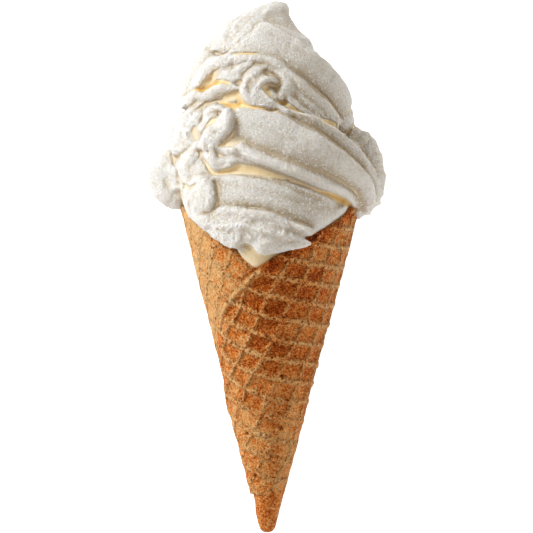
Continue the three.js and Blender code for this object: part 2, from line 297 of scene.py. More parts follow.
def rib_at(column, row):
    """1 on a rib and 0 in a cell: millimetres from the nearest grid line, through a slope."""
    d_column = np.abs(column - np.round(column)) - 0.5
    d_row = np.abs(row - np.round(row)) - 0.5
    return ease(np.maximum(COLUMN_PITCH * d_column - 0.35, ROW_PITCH * d_row), -1.9, -0.5)


# %% [markdown]
# The outer face is a grid of points over the sheet: turns about the roll by rows from the
# solid tip to the rim. The turns lie close together where the sheet shows, and wider apart
# on the inner turn that it hides.

# %% Points over the sheet
# The roll's last turn to either side, the slant where it takes over from the solid tip, and
# the shortest slant that its upper end may have.
LAST_TURN = 330
JOIN, SHORTEST = 24.6, 26
turns = np.concatenate([np.arange(-LAST_TURN, -104, 4.0), np.arange(-104, 205, 1.0),
                        np.arange(205, LAST_TURN + 1, 2.0)])


def over_sheet(rows):
    """Turn and slant of every point, for rows given as shares of the way up."""
    turn, share = np.meshgrid(turns, rows, indexing="ij")
    return turn, JOIN + (np.maximum(rim(turn), SHORTEST) - JOIN) * share


rows = np.linspace(0, 1, 190)
TURN, SLANT = over_sheet(rows)
COLUMN_AT, ROW_AT = grid(SLANT, TURN)
from_rim = rim(TURN) - SLANT
cloud = np.stack([SLANT, TURN * 0.45, 0 * TURN], axis=-1).reshape(-1, 3)


def rough(size, seed):
    """Hills over the flat sheet in the shape of the grid of points."""
    return hills(cloud, size, seed).reshape(TURN.shape)


print("the sheet reaches", SLANT.max().round(1), "mm from the apex")

# %% [markdown]
# The relief is how deep each point lies under the ribs' crests, in millimetres. Cells are
# sunken as far as the iron pressed them. Along the free edge runs a raised plain strip, the
# very rim is rounded and rough, and towards the left the free edge thins out into the turn
# below, where it sticks.

# %% Relief of the outer face
rib = rib_at(COLUMN_AT, ROW_AT)
strip = ease(-from_rim, -3.8, -1.8) * ease(TURN, 168, 182) * (1 - ease(TURN, 226, 242))
strip = strip * (0.85 + 0.3 * rough(4.0, 33))
pressed = (0.28 + 0.72 * ease(SLANT, 36, 84)) * ease(SLANT, 20, 34) * (0.30 + 0.70 * ease(TURN, 0, 24))
pressed *= (0.82 + 0.3 * rough(16, 9)) * (1 - strip)
relief = 0.95 * (1 - rib) * (0.08 + 0.92 * np.clip(pressed, 0, 1))
relief += 0.12 * rough(2.6, 5) + 0.16 * rough(1.4, 6) + 0.14 * rough(9.0, 10)
relief += 0.5 * ease(-from_rim, -1.8, 0) * (0.8 + rough(2.0, 7)) - 0.5 * strip
relief += 1.7 * ease(-from_rim, -16, -1) * ease(TURN, 210, 232)
outer = rolled(SLANT, TURN, relief)
print("relief from", relief.min().round(2), "to", relief.max().round(2), "mm")

# %% [markdown]
# A few large bubbles broke open where the sheet baked against the iron. They are scattered
# down the front, each listed as a place on the drawing grid and a radius in millimetres.

# %% Pores
PORES = [(281, 426, 1.0), (279, 411, 0.7), (255, 474, 0.9), (273, 492, 0.8), (264, 493, 0.5), (258, 502, 0.8),
         (270, 509, 0.8), (288, 399, 0.6), (247, 432, 0.7), (241, 397, 0.5), (295, 355, 0.6), (272, 356, 0.6),
         (246, 331, 0.5), (283, 316, 0.5), (281, 374, 0.6)]
PORE_DEPTH = 0.7
pore = np.zeros_like(TURN)
for column, row, size in PORES:
    side, height = drawn(column, row)
    away = np.hypot(outer[..., 0] - side, outer[..., 2] - height)
    pore = np.maximum(pore, ease(-away, -size, -size * 0.35) * (outer[..., 1] < 0))
outer = rolled(SLANT, TURN, relief + PORE_DEPTH * pore)
print(len(PORES), "pores")

# %% [markdown]
# The sheet gets its thickness: the outer face runs over a rounded, slightly wavy lip into a
# plain inner face, and the four are one closed surface.

# %% Lip and inner face
inner_turn, inner_slant = over_sheet(np.linspace(1, 0, 14))
inner = rolled(inner_slant, inner_turn, SHEET * outer_radius(inner_slant, inner_turn)[1])
wave = 0.45 * hills(np.stack([turns * 0.5, 0 * turns, 0 * turns], axis=1), 2.2, 8)
brink = np.clip(relief[:, -1], 0, 1.7)
lip = [rolled(rim(turns) + 0.45 + wave, turns, brink + (SHEET - brink) * share)[:, None]
       for share in (0.3, 0.7)]
sheet = np.concatenate([outer, *lip, inner], axis=1)
wafer_part = closed(sheet)
print("wafer:", sheet.shape)

# %% [markdown]
# The tip is baked shut: the last turns are one solid point, which carries the outer turn
# down to a blunt end. On its left a shallow step shows where the sheet's edge ran out.

# %% The blunt tip
low = APEX / np.cos(HALF)
tip_slant = np.concatenate([[low, low + 0.4, low + 1.2], np.linspace(low + 2, 26, 26)])
tip_share = np.concatenate([[0.40, 0.72, 0.94], np.ones(26)])
tip_turn = LAST_TURN - (np.arange(150) + 0.5) * 2.4
slant, turn = np.meshgrid(tip_slant, tip_turn, indexing="ij")
where = np.stack([slant, turn * 0.15, 0 * slant], axis=-1).reshape(-1, 3)
step = 0.85 * np.exp(-(((turn - 262) / 50) ** 2)) * ease(slant, 16, 23)
tip = rolled(slant, turn, 0.08 + step + 0.12 * hills(where, 1.6, 6).reshape(slant.shape))
tip[..., :2] *= tip_share[:, None, None]
tip_part = closed(tip)
print("tip:", tip.shape)

# %% [markdown]
# How brown the wafer looks is a number for each point: its baked colour, with painted light
# and shade in it. It is brownest in front, about two thirds of the way up, partly as painted
# shade, and along the rim to the right of its notch, partly as painted shade under the
# overhanging cream; the rim of the inner turn and the open pores are brown too, partly as
# painted shade. It is palest at the upper left and right, partly as a painted highlight, and
# on the plain strip, partly as a painted highlight on its lit edge.

# %% How brown it looks, painted light and shade included
# Brownest in front: partly baked colour, partly painted shade on the side away from the light.
toast_and_painted_light = 0.05 + 0.17 * np.exp(-(((TURN - 152) / 48) ** 2 + ((SLANT - 96) / 26) ** 2))
toast_and_painted_light += 0.10 * ease(-SLANT, -84, -50)
# Paler at the upper left and right: partly baked colour, partly a painted highlight.
toast_and_painted_light -= 0.10 * ease(SLANT, 90, 112) * (ease(-TURN, -125, -105) + ease(TURN, 236, 262))
# Browner along the rim right of its notch: partly baked colour, partly painted shade under the overhanging
# cream.
toast_and_painted_light += 0.32 * ease(from_rim, 7, 1) * (1 - ease(TURN, 172, 182)) * ease(TURN, 92, 110)
# Paler on the plain strip: partly its own colour, partly a painted highlight on its lit edge.
toast_and_painted_light -= 0.16 * strip
# Browner along the inner turn's rim: partly baked colour, partly painted shade beside the free edge.
toast_and_painted_light += 0.26 * ease(from_rim, 16, 2) * ease(-TURN, 120, 170) - 0.06 * ease(-TURN, 150, 110)
# Random patches, and the open pores browner, partly as painted shade inside them.
toast_and_painted_light += 0.10 * rough(14, 31) + 0.08 * rough(5.0, 32) + 0.5 * pore
print("toast from", toast_and_painted_light.min().round(2), "to", toast_and_painted_light.max().round(2))

# %% [markdown]
# What the finish needs goes into the mesh: how deep the iron pressed and how brown the wafer
# is, with its painted light and shade, as values on the points, and the grid coordinates as a
# UV map.

# %% The wafer piece
def over_all(values, rest):
    """Values of the outer face, then one value for everything else of the two parts."""
    whole = np.concatenate([values, np.full((len(turns), sheet.shape[1] - len(rows)), rest)], axis=1).ravel()
    return np.concatenate([whole, np.full(2 + len(tip_part[0]), rest)])


cone_mesh = mesh_from([wafer_part, tip_part], "waffle_cone_wafer")
add_values(cone_mesh, "pressed", over_all(np.clip(pressed, 0, 1), 0.1))
add_values(cone_mesh, "toast_and_painted_light", over_all(toast_and_painted_light, 0.30))
corner_of = np.empty(len(cone_mesh.loops), np.int32)
cone_mesh.loops.foreach_get("vertex_index", corner_of)
uv = np.stack([over_all(COLUMN_AT, 0.0), over_all(ROW_AT, 0.0)], axis=1)[corner_of]
cone_mesh.uv_layers.new(name="grid").data.foreach_set("uv", uv.astype(np.float32).ravel())
move_points(cone_mesh, lay(points_of(cone_mesh)))
cone_mesh.polygons.foreach_set("use_smooth", [True] * len(cone_mesh.polygons))
cone = bpy.data.objects.new("waffle_cone_wafer", cone_mesh)
scene.collection.objects.link(cone)
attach(cone, "root")
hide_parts("waffle_cone")
print("cone:", len(cone_mesh.polygons), "faces")

# %% [markdown]
# ## The soft serve
# The machine lays a rope of soft ice cream in rounds, and each round sags, folds and drags
# on the one below. Seen from the front each round is a broad fold: a bright crest on top, a
# face that swells, falls away and tucks in, and a lip at its lower edge that hangs over the
# next. It could be sculpted from a ball, but then no crest would be where it is wanted.
# Here every fold is lofted between two drawn lines, its crest and its lip, and a profile
# says what the section does between them. Each line is a list of bearing, height and reach.

# %% The profile of a fold
# Each row is: share of the way from crest to lip, millimetres outward, millimetres upward.
# The face of a crested fold swells and then falls in a little above its lip; a plain one
# only swells.
CRESTED = [
    (0.3, -14.0, -6.0), (0.1, -8.0, -2.0), (0.0, -4.0, -0.5), (0.0, -1.8, 0.2), (0.0, -0.5, 0.0),
    (0.06, 0.6, 0.0), (0.14, 1.2, 0.0), (0.27, 1.6, 0.0), (0.42, 1.5, 0.0), (0.57, 0.8, 0.0),
    (0.68, 0.0, 0.0), (0.76, -0.4, 0.0), (0.84, -0.2, 0.0), (0.92, 0.1, 0.1), (1.0, -0.1, 0.5),
    (1.0, -0.7, -0.5), (1.0, -1.8, -1.1), (1.0, -4.5, -1.0), (0.9, -9.0, 0.0), (0.75, -14.0, 0.0),
]
PLAIN = [
    (0.3, -13.0, -5.0), (0.1, -7.0, -1.6), (0.0, -3.6, -0.4), (0.0, -1.6, 0.2), (0.0, -0.4, -0.1),
    (0.08, 0.8, 0.0), (0.2, 1.6, 0.0), (0.36, 2.0, 0.0), (0.54, 2.0, 0.0), (0.72, 1.5, 0.0),
    (0.88, 0.8, 0.0), (1.0, 0.0, 0.5), (1.0, -1.2, -0.4), (1.0, -4.0, -0.6), (0.9, -8.0, 0.0),
    (0.75, -13.0, 0.0),
]


# %% A fold between its crest and its lip
def fold(crest, lip, profile=CRESTED, count=160, corners=84, scale=1.0, ends=14):
    """Lofts a fold. At each place along it the profile's rows are set between the crest and
    the lip, a smooth closed curve is drawn through them, and near both ends the section
    shrinks about its middle, so that the fold ends rounded."""
    where, full = rounding(count, ends)
    top, low = through(crest, where), through(lip, where)
    rows = np.array(profile, float)
    loop = np.vstack([rows[-2:], rows, rows[:3]])
    keys = through(loop, np.linspace(2, len(rows) + 2, corners, endpoint=False) / (len(loop) - 1))
    share, out, up = keys.T
    section = top[:, None, :] * (1 - share)[:, None] + low[:, None, :] * share[:, None]
    section[..., 1] += up * scale
    section[..., 2] = np.maximum(section[..., 2] + out * scale, 1.0)
    full = full[:, None, None]
    middle = section.mean(1, keepdims=True)
    section = middle + (section - middle) * np.concatenate([np.ones_like(full), full, full], axis=2)
    return closed(true_place(polar(section[..., 0], section[..., 1], section[..., 2])))


# %% [markdown]
# The folds, from the bottom up. Bearings grow from left to right, so a fold that falls to
# the right loses height along its list.

# %% The lowest folds in front
FRONT = {
    "front lobe": fold(
        [(-56, 123, 29.6), (-44.5, 126.4, 30.6), (-22.9, 128.2, 31), (-9.3, 127.8, 31.2), (3.7, 126.3, 31.2),
         (14.6, 124.2, 31.2), (26.2, 121.8, 31), (39.7, 119.4, 30.6), (52, 117.4, 30), (61, 115.2, 29.4)],
        [(-52, 115, 31), (-38, 113.5, 32), (-21.4, 113.5, 32.6), (-10.7, 113, 32.8), (-0.6, 111, 32.6),
         (8.5, 109.4, 32.2), (20, 107.4, 31.6), (36, 107.8, 30.8), (50, 111, 30.4), (60, 113.4, 29.8)],
        PLAIN, scale=0.9),
    "drape": fold(
        [(-56, 113.6, 31.2), (-44, 114, 32.2), (-32, 115, 33.2), (-20, 116, 34), (-8, 115.2, 34.6),
         (4, 113, 34.4), (14, 110.6, 33.8), (21, 108.4, 33), (26, 106.6, 32)],
        [(-54, 109.8, 31.2), (-44, 107.6, 31), (-34, 104.4, 31), (-24, 102.4, 31), (-14, 104.4, 31.4),
         (-4, 100.2, 31), (7, 100.8, 31), (16, 102, 31.4), (24, 103.4, 31.8)], PLAIN, scale=0.6),
}
print(len(FRONT), "folds at the rim")

# %% [markdown]
# The second round is the widest: one broad band that falls from the middle hook down to the
# rim at the right. A recess parts it from the front lobe, and another band shows behind it.

# %% The second round
FRONT |= {
    "second band": fold(
        [(-36, 150.2, 29.4), (-23.3, 152.2, 31), (-2.8, 150.8, 32), (10, 149.0, 32.6), (20.3, 145.6, 33.6),
         (30.7, 142.4, 34.8), (41.1, 138.8, 36.2), (50.6, 134.6, 37.6), (60.3, 130.7, 38.8),
         (69.8, 126.2, 39.7), (78, 121.6, 39.9), (85, 117.5, 39.2)],
        [(-36, 139.4, 32), (-26, 138.0, 33.6), (-12.6, 135, 34.8), (-1, 132.6, 35.4), (8, 130.8, 35.7),
         (16, 129.0, 35.8), (27.6, 126.2, 35.7), (39.4, 124.0, 35.6), (50.8, 122.2, 35.4), (62.6, 120.2, 35),
         (70, 118.2, 34.4), (78, 117, 34)], scale=1.1),
    "recess wall": fold(
        [(-40, 144, 32), (-20, 142, 33.4), (0, 139.5, 34), (20, 135, 34.3), (40, 130, 34), (58, 126, 33.4),
         (70, 122.5, 32.6)],
        [(-40, 126, 30.4), (-20, 127.5, 30.8), (0, 125.5, 31), (20, 121, 30.9), (40, 117, 30.6),
         (56, 115, 30.2), (66, 115, 30)], PLAIN, scale=0.3),
    "back band": fold(
        [(-2, 149, 27), (12.6, 152, 29.8), (23.3, 150.8, 31.4), (37.4, 148.1, 33.2),
         (49.4, 144.1, 35.4), (62.3, 138.6, 37.8), (71.9, 132.6, 40), (80.1, 126.3, 41.6), (85, 119.9, 42)],
        [(-2, 144, 27), (10, 142, 29), (22, 140, 30.6), (34, 137, 32), (46, 132, 34),
         (58, 127, 36), (70, 121, 38), (82, 118, 38.8), (91, 116, 38.4)], PLAIN, scale=0.4),
}
print(len(FRONT), "folds with the second round")

# %% [markdown]
# The top round is a single smooth face, steep at its right end.

# %% The top round
FRONT |= {
    "top face": fold(
        [(-46, 172, 20), (-23.8, 177.5, 18.6), (-6.6, 183.6, 16.6), (10, 181.6, 17.8), (21.2, 179.2, 19.4),
         (35.3, 176.2, 22), (46.5, 172.8, 24.6), (57.4, 168.7, 26.6), (68, 164.6, 28.6), (80, 158.4, 30.4),
         (94, 152, 29.6)],
        [(-46, 169.6, 24.4), (-31.6, 171.2, 25.2), (-15.4, 170.5, 25.2), (0.8, 170.0, 25.2),
         (12.9, 167.6, 25.2), (24, 163.6, 25.6), (35, 159.6, 26), (47, 155.6, 26.6), (59, 151.6, 27.2),
         (72, 148.4, 27.6), (90, 148, 27)],
        PLAIN, scale=0.85),
}
print(len(FRONT), "folds on the shown side")

# %% [markdown]
# Between the second band and the top lies a hollow where the swirl has torn and curled. Its
# ground is a plainer wall set a little deeper, and the left side is made of plain folds.

# %% The deeper wall and the left side
SIDE = {
    "hollow wall": fold(
        [(-74, 160, 28.6), (-52, 169, 25.6), (-30, 172.4, 24.6), (-6, 172.4, 24), (20, 167, 24.4),
         (44, 159, 25.6), (72, 150, 26)],
        [(-74, 146, 31), (-52, 146, 29.8), (-30, 148, 28.8), (-6, 148, 28.6), (20, 146, 28.6),
         (44, 142, 29.2), (72, 140, 28.6)], PLAIN, scale=0.5),
    "left fold": fold(
        [(-120, 149.5, 31), (-90, 150.6, 32.4), (-66, 151.4, 31.2), (-44, 151.2, 29), (-26, 149.4, 28)],
        [(-120, 134, 33.6), (-90, 135.4, 34.8), (-66, 137, 33.6), (-44, 139.4, 31.6), (-26, 140, 30)], PLAIN),
    "left hem": fold(
        [(-100, 138, 29.4), (-80, 138, 31.2), (-62, 138, 32), (-44, 136, 31), (-30, 133, 30)],
        [(-100, 121, 28.6), (-84, 120, 29.8), (-74, 117, 31), (-62, 112.8, 31.8), (-48, 110.6, 31.6),
         (-30, 112, 30)], PLAIN, scale=0.8),
    "left rise": fold(
        [(-120, 172, 25), (-90, 173.4, 25.2), (-64, 173, 24.6), (-44, 170, 23.6)],
        [(-120, 153, 30.6), (-90, 152.6, 31.4), (-64, 153.4, 30.4), (-44, 156, 27.6)], PLAIN),
    "crown fold": fold(
        [(-130, 183, 13.4), (-90, 184, 14.2), (-60, 184.6, 13.4), (-30, 184.4, 12)],
        [(-130, 173, 21.6), (-90, 174.2, 22.4), (-60, 174.4, 21.8), (-30, 176, 19)], PLAIN, scale=0.7),
}
print(len(SIDE), "folds at the side")

# %% [markdown]
# Behind, the swirl shows what it is: whole rounds of one rope, one on top of another. The
# nozzle's teeth leave soft grooves along it.

# %% A grooved rope round the axis
def rope(stations, grooves=9, groove=1.0, count=160, corners=64):
    """A round of the swirl: an oval section carried round the axis. A station is bearing,
    middle height, outer reach, depth and half its height. The teeth leave grooves that turn
    slowly about the rope, and its ends are rounded."""
    where, full = rounding(count, 8)
    b, h, reach, d, v = (column[:, None] for column in through(stations, where).T)
    full = full[:, None]
    a = np.linspace(0, 2 * np.pi, corners, endpoint=False)[None, :]
    tooth = 1 - groove / d * (0.5 + 0.5 * np.cos(grooves * a + np.radians(b) * 1.3)) ** 2
    return closed(polar(b, h + v * full * tooth * np.sin(a), reach - d + d * full * tooth * np.cos(a)))


# %% The rounds behind
ROUNDS = [
    rope([(54, 129, 36, 14, 13), (72, 129.4, 38, 15, 14.6), (90, 129.4, 39.4, 16, 15),
          (112, 129, 41.4, 15, 15), (140, 128.4, 42.4, 15, 14.6), (180, 127.6, 42.4, 14, 14),
          (226, 127, 42.4, 14, 13), (252, 127, 41.6, 13, 11.6), (274, 127.4, 39, 12, 10.6),
          (290, 127.4, 36.6, 12, 9.6)]),
    rope([(70, 152, 27.6, 12, 4), (88, 151.6, 30.4, 13, 5.6), (110, 150.2, 32.6, 15, 8.6),
          (150, 148, 34.6, 16, 10.4), (200, 146, 35.4, 16, 10), (250, 144, 35.8, 15, 9.6),
          (280, 143.4, 35.4, 14, 9)]),
    rope([(66, 163, 25, 12, 8), (110, 162.6, 27.6, 14, 10), (150, 162.2, 29, 14, 11),
          (200, 161.6, 30, 14, 11), (250, 161.4, 31, 14, 11), (278, 161.4, 31, 13, 10.6)]),
    rope([(50, 171, 15, 10, 5), (90, 171.6, 17, 10, 6), (130, 174, 18.6, 11, 7.4),
          (180, 176.4, 19.8, 11, 8.4), (240, 177.4, 21, 12, 8.6),
          (290, 178, 21.4, 12, 8)], grooves=7, groove=0.8),
]
print(len(ROUNDS), "rounds behind")

# %% [markdown]
# Inside the folds is a plain core, and the end of the swirl is drawn up to a leaning tip.
# Both are turned shapes: circles stacked along the axis, each with a height, a radius and a
# sideways shift.

# %% A turned shape
def turned(levels, corners=72, count=70):
    """Circles through the levels (height, radius, sideways shift), stacked along the axis."""
    z, r, x = (column[:, None] for column in through(levels, count).T)
    a = np.linspace(0, 2 * np.pi, corners, endpoint=False)[None, :]
    return closed(np.stack(np.broadcast_arrays(x + r * np.sin(a), -r * np.cos(a), z), axis=-1))


# %% The core and the drawn-up tip
CORE = turned([(100, 20, 0), (108, 25, 0), (118, 27, 0), (134, 28, 0), (146, 24.5, 0), (158, 21, 0),
               (170, 16, -1)])
PEAK = turned([(166, 19, -2), (171, 20, -2.6), (174, 19.6, -2.6), (176.8, 18.0, -2.4), (180.4, 14.6, -2.6),
               (184.0, 11.2, -1.9), (186.4, 8.8, -0.8), (188.2, 6.6, 1.6), (189.6, 4.9, 2.6),
               (190.6, 3.0, 3.4), (191.0, 1.0, 3.6)])
print("peak at", PEAK[0][:, 2].max().round(1), "mm")

# %% [markdown]
# The filling goes down into the cone as far as anybody could see and touches the wafer all
# round. The turn of the roll that is innermost at a place decides how far it may swell.

# %% How far the filling may reach
def inner_reach(height, bearing):
    """Reach of the wafer's innermost face: of the two turns that pass a bearing, the inner
    one counts if it is tall enough there, or else the outer one. Above the rim the reach
    stays what it is at the rim. Also gives the rim's height."""
    outer_turn = np.mod(CENTRE - bearing, 360)
    inner_turn = outer_turn - 360
    slant = (height + APEX) / np.cos(HALF)
    rim_in, rim_out = rim(inner_turn), rim(outer_turn)
    turn = np.where(rim_in > slant, inner_turn, np.where(rim_in > rim_out, inner_turn, outer_turn))
    slant = np.minimum(slant, np.maximum(rim_in, rim_out) - 0.6)
    reach, share = outer_radius(slant, turn)
    return reach - SHEET * share * np.cos(HALF), np.maximum(rim_in, rim_out) * np.cos(HALF) - APEX


# %% The filling
FILLING_FOOT = 80


def filling(count=60, corners=180):
    """Rings from well below the rim to a little above it, as wide as the cone lets them be
    and then swelling over the rim, except at its notch and its two corners, and rings that
    close over the top."""
    bearing = np.linspace(-180, 180, corners, endpoint=False)[None, :]
    top = np.maximum(inner_reach(np.full_like(bearing, 120.0), bearing)[1] + 5.0, 112.0)
    share = np.linspace(0, 1, count)[:, None]
    height = FILLING_FOOT + (top - FILLING_FOOT) * share
    reach, brim = inner_reach(height, np.broadcast_to(bearing, height.shape))
    corner = np.exp(-(((bearing - 80) / 16) ** 2)) + np.exp(-(((bearing + 84) / 14) ** 2))
    swell = ease(height - brim, 0.2, 3.2) * ease(np.abs(bearing + 8), 24, 44) * (1 - corner)
    reach = reach + 0.1 + 2.6 * swell
    side = polar(bearing, height, reach)
    shrink = np.cos(np.linspace(0, np.pi / 2, 12)[1:-1])[:, None]
    cap = polar(bearing, top + 4 * (1 - shrink), reach[-1:] * shrink)
    foot = polar(bearing, np.full((1, corners), FILLING_FOOT - 0.5), reach[:1] - 1.0)
    return closed(np.concatenate([foot, side, cap]))


FILLING = filling()
print("filling goes down to", FILLING[0][:, 2].min().round(1), "mm")

# %% [markdown]
# Some parts are not folds but flat lobes: at both sides the lowest round pushes out past the
# rim, with a ragged fan of fine ridges where it tore off the nozzle. Such a lobe is drawn by
# its outline as seen from the front and swells between front and back.

# %% A lobe drawn by its outline
def lobe(outline, middle, depth, bulge, back, fan=0, comb=0.0, ragged=0.0, corners=360, rings=26):
    """A swelling patch, from an outline and a middle on the drawing grid. Rings run from the
    middle out to the outline on the front and back in again behind, and the thickness falls
    off as a cosine. Fan ridges run from the middle to the outline, and the outline itself is
    ragged by hills of two sizes."""
    middle = drawn(*middle)
    loop = np.array([drawn(*place) for place in outline], float)
    loop = np.vstack([loop[-2:], loop, loop[:3]])
    n = len(outline)
    edge = through(loop, np.linspace(2, n + 2, corners, endpoint=False) / (len(loop) - 1))
    along = np.linspace(0, 2 * np.pi, corners, endpoint=False)
    rag = np.stack([60 * np.cos(along), 60 * np.sin(along), 0 * along], axis=1)
    spread = 1 + ragged * (hills(rag, 5.0, 11) + 0.7 * hills(rag, 2.4, 12))
    a = np.linspace(0.03, np.pi - 0.03, rings)[:, None]
    reach = np.sin(a) * spread[None, :]
    ridge = comb * np.cos(fan * along + 1.5 * hills(rag, 14.0, 13)) * np.sin(a) ** 3 * (a < np.pi / 2)
    flat = np.where(a < np.pi / 2, bulge, back) * np.cos(a)
    x = middle[0] + (edge[:, 0] - middle[0])[None, :] * reach
    z = middle[1] + (edge[:, 1] - middle[1])[None, :] * reach
    return closed(np.stack([x, np.broadcast_to(depth - flat, x.shape) - ridge, z], axis=-1))


# %% The lobes
LOBES = [
    lobe([(336, 127), (350, 124.5), (364, 131), (375.5, 141), (383, 155), (385, 176), (384, 193), (377, 206),
          (362, 218), (352, 219), (330, 214), (310, 190), (306, 160), (318, 138)], (340, 170),
         2.0, 12.0, 9.0, fan=54, comb=1.6, ragged=0.05),
    lobe([(176, 143), (161.6, 154), (153.3, 163), (148.3, 176), (150, 188), (156.6, 199.5), (164, 205),
          (172, 208.5), (180, 209.5), (196, 208), (210, 190), (206, 160), (192, 146)], (186, 180),
         2.0, 9.0, 9.0, fan=36, comb=1.3, ragged=0.05),
    # two points drawn out where the drape tore
    lobe([(280, 222), (294, 223), (306, 227.5), (314, 232.5), (308, 235.5), (298, 237), (284, 238)],
         (290, 230), -30.0, 2.4, 3.0),
    lobe([(276, 237), (292, 238), (303, 241), (310, 243.5), (308, 247), (296, 249), (278, 251)],
         (288, 244), -30.0, 2.4, 3.0),
    lobe([(318, 112), (334, 106), (350, 112), (354, 124), (348, 136), (330, 138), (316, 128)],
         (336, 122), 2.0, 12.0, 8.0),
    # the melted filling that shows in the notch of the rim
    lobe([(236, 243), (238, 249), (241.5, 255.5), (248, 262), (256, 267.5), (262.5, 267.5), (271, 261),
          (281, 253), (288, 245), (272, 236), (250, 234)], (258, 249), -25.6, 2.2, 6.0),
]
print(len(LOBES), "lobes")

# %% [markdown]
# Now all these closed shapes overlap as a heap. A voxel remesh reads the heap as one body
# and gives it a single even skin, as if the ice cream had run together, and a few rounds of
# smoothing take away the steps the voxels leave.

# %% Modifiers over a mesh
def finished(mesh, name, *steps):
    """Runs modifiers over a mesh, each given as (type, settings), and returns the result."""
    work = bpy.data.objects.new(name + "_work", mesh)
    scene.collection.objects.link(work)
    for number, (kind, settings) in enumerate(steps):
        modifier = work.modifiers.new(f"step{number}", kind)
        for key, value in settings.items():
            setattr(modifier, key, value)
    result = bpy.data.meshes.new_from_object(work.evaluated_get(bpy.context.evaluated_depsgraph_get()))
    bpy.data.objects.remove(work)
    result.name = name
    return result


# %% One skin
COARSE_VOXEL, FINE_VOXEL = 0.5, 0.45
heap = mesh_from(list(FRONT.values()) + list(SIDE.values()) + ROUNDS + [CORE, PEAK, FILLING] + LOBES, "heap")
skin = finished(heap, "first_skin",
                ("REMESH", dict(mode="VOXEL", voxel_size=COARSE_VOXEL, adaptivity=0.0)),
                ("SMOOTH", dict(factor=0.5, iterations=4)))
print("first skin:", len(skin.vertices), "vertices")

# %% [markdown]
# Several steps below compare a point with its surroundings. Averages over joined vertices
# do that: a few rounds smooth away a pimple, and many rounds a whole fold.

# %% Averages over neighbours
def edges_of(mesh):
    """Pairs of joined vertices as an array."""
    out = np.empty(len(mesh.edges) * 2, np.int32)
    mesh.edges.foreach_get("vertices", out)
    return out.reshape(-1, 2)


def relaxed(values, edges, rounds):
    """Each round replaces a vertex's value by the mean of itself and its neighbours' mean."""
    v = np.array(values, float)
    v = v[:, None] if v.ndim == 1 else v
    count = np.bincount(edges.ravel(), minlength=len(v))[:, None].clip(1)
    for _ in range(rounds):
        total = [np.bincount(edges[:, 0], v[edges[:, 1], k], len(v))
                 + np.bincount(edges[:, 1], v[edges[:, 0], k], len(v)) for k in range(v.shape[1])]
        v = 0.5 * v + 0.5 * np.stack(total, axis=1) / count
    return v


def normals_of(mesh):
    """Vertex normals as an array."""
    out = np.empty(len(mesh.vertices) * 3, np.float32)
    mesh.vertex_normals.foreach_get("vector", out)
    return out.reshape(-1, 3).astype(float)


# %% [markdown]
# On the shown side the swirl has torn and curled into ridges. Thin ropes laid on the skin
# would look like worms, because real ridges are folds: one side drops off steeply and may
# hang over, and the other runs out into the ground. So each ridge is a drawn line with a
# height and a width for either side, and the skin is pushed out along it.

# %% Where a point lies beside a drawn line
def drawn_line(stations, count):
    """Evenly spaced rows through stations whose first two numbers are on the drawing grid."""
    line = through(stations, count)
    line[:, 0], line[:, 1] = drawn(line[:, 0], line[:, 1])
    return line


def beside(points, line):
    """For each point and a line of rows (side, height, ...): which row is nearest, how far to
    the left of the line the point lies, how far past the line's end, and the way across."""
    x, z = line[:, 0], line[:, 1]
    tx, tz = np.gradient(x), np.gradient(z)
    long = np.hypot(tx, tz)
    j = ((points[:, :1] - x) ** 2 + (points[:, 2:] - z) ** 2).argmin(1)
    dx, dz = points[:, 0] - x[j], points[:, 2] - z[j]
    tx, tz = (tx / long)[j], (tz / long)[j]
    ahead = np.where((j == 0) | (j == len(x) - 1), tx * dx + tz * dz, 0)
    return j, tx * dz - tz * dx, ahead, np.stack([-tz, 0 * tz, tx], axis=1)


# %% One ridge
def around(points, line, margin):
    """Numbers of the points inside the line's box, grown by a margin."""
    side, height = points[:, 0], points[:, 2]
    near = (side > line[:, 0].min() - margin) & (side < line[:, 0].max() + margin)
    near &= (height > line[:, 1].min() - margin) & (height < line[:, 1].max() + margin)
    return np.flatnonzero(near)


def raise_ridge(points, height, shift, stations):
    """Adds one ridge to the height field. Across it the height is (1 - t^2) to a power, t
    being the distance over the width of that side, and the power is small where the ridge is
    tall for its width, so that it stands like a wall. Height and widths waver a little along
    the line. The crest shifts towards the narrower side and so overhangs it. A ridge first
    fills up what pocket it crosses, and where two ridges meet, the higher one counts."""
    line = through(stations, 70)
    spot = np.stack([line[:, 0], 0 * line[:, 0], line[:, 1]], axis=1)
    line[:, 2] *= 1 + 0.25 * hills(spot, 13.0, 41)
    line[:, 3:] *= (1 + 0.22 * hills(spot, 9.0, 42))[:, None]
    line[:, 0], line[:, 1] = drawn(line[:, 0], line[:, 1])
    near = around(points, line, line[:, 3:].max() + 0.5)
    j, left, ahead, normal = beside(points[near], line)
    proud, wide_left, wide_right = line[j, 2], line[j, 3], line[j, 4]
    wide = np.where(left > 0, wide_left, wide_right)
    cover = np.clip(1 - ((left / wide) ** 2 + (ahead / (0.5 * wide + 0.6)) ** 2), 0, 1)
    ground = height[near]
    rise = 0.8 * proud * cover ** np.clip(1.9 - 0.85 * proud / wide, 0.6, 1.7)
    rise = rise + ground * (1 - cover ** 0.5) * (ground < 0)
    wins = (rise > ground) & (cover > 0)
    height[near[wins]] = rise[wins]
    lean = -0.22 * rise * (wide_left - wide_right) / (wide_left + wide_right)
    shift[near[wins]] = (normal * lean[:, None])[wins]


# %% [markdown]
# The ridges are drawn from the top hollow down and then round the left side. A row is a
# place on the drawing grid, the ridge's height there, and its width to the left and to the
# right of the way, in millimetres. Under the top round the swirl has curled into a hook
# below an arch.

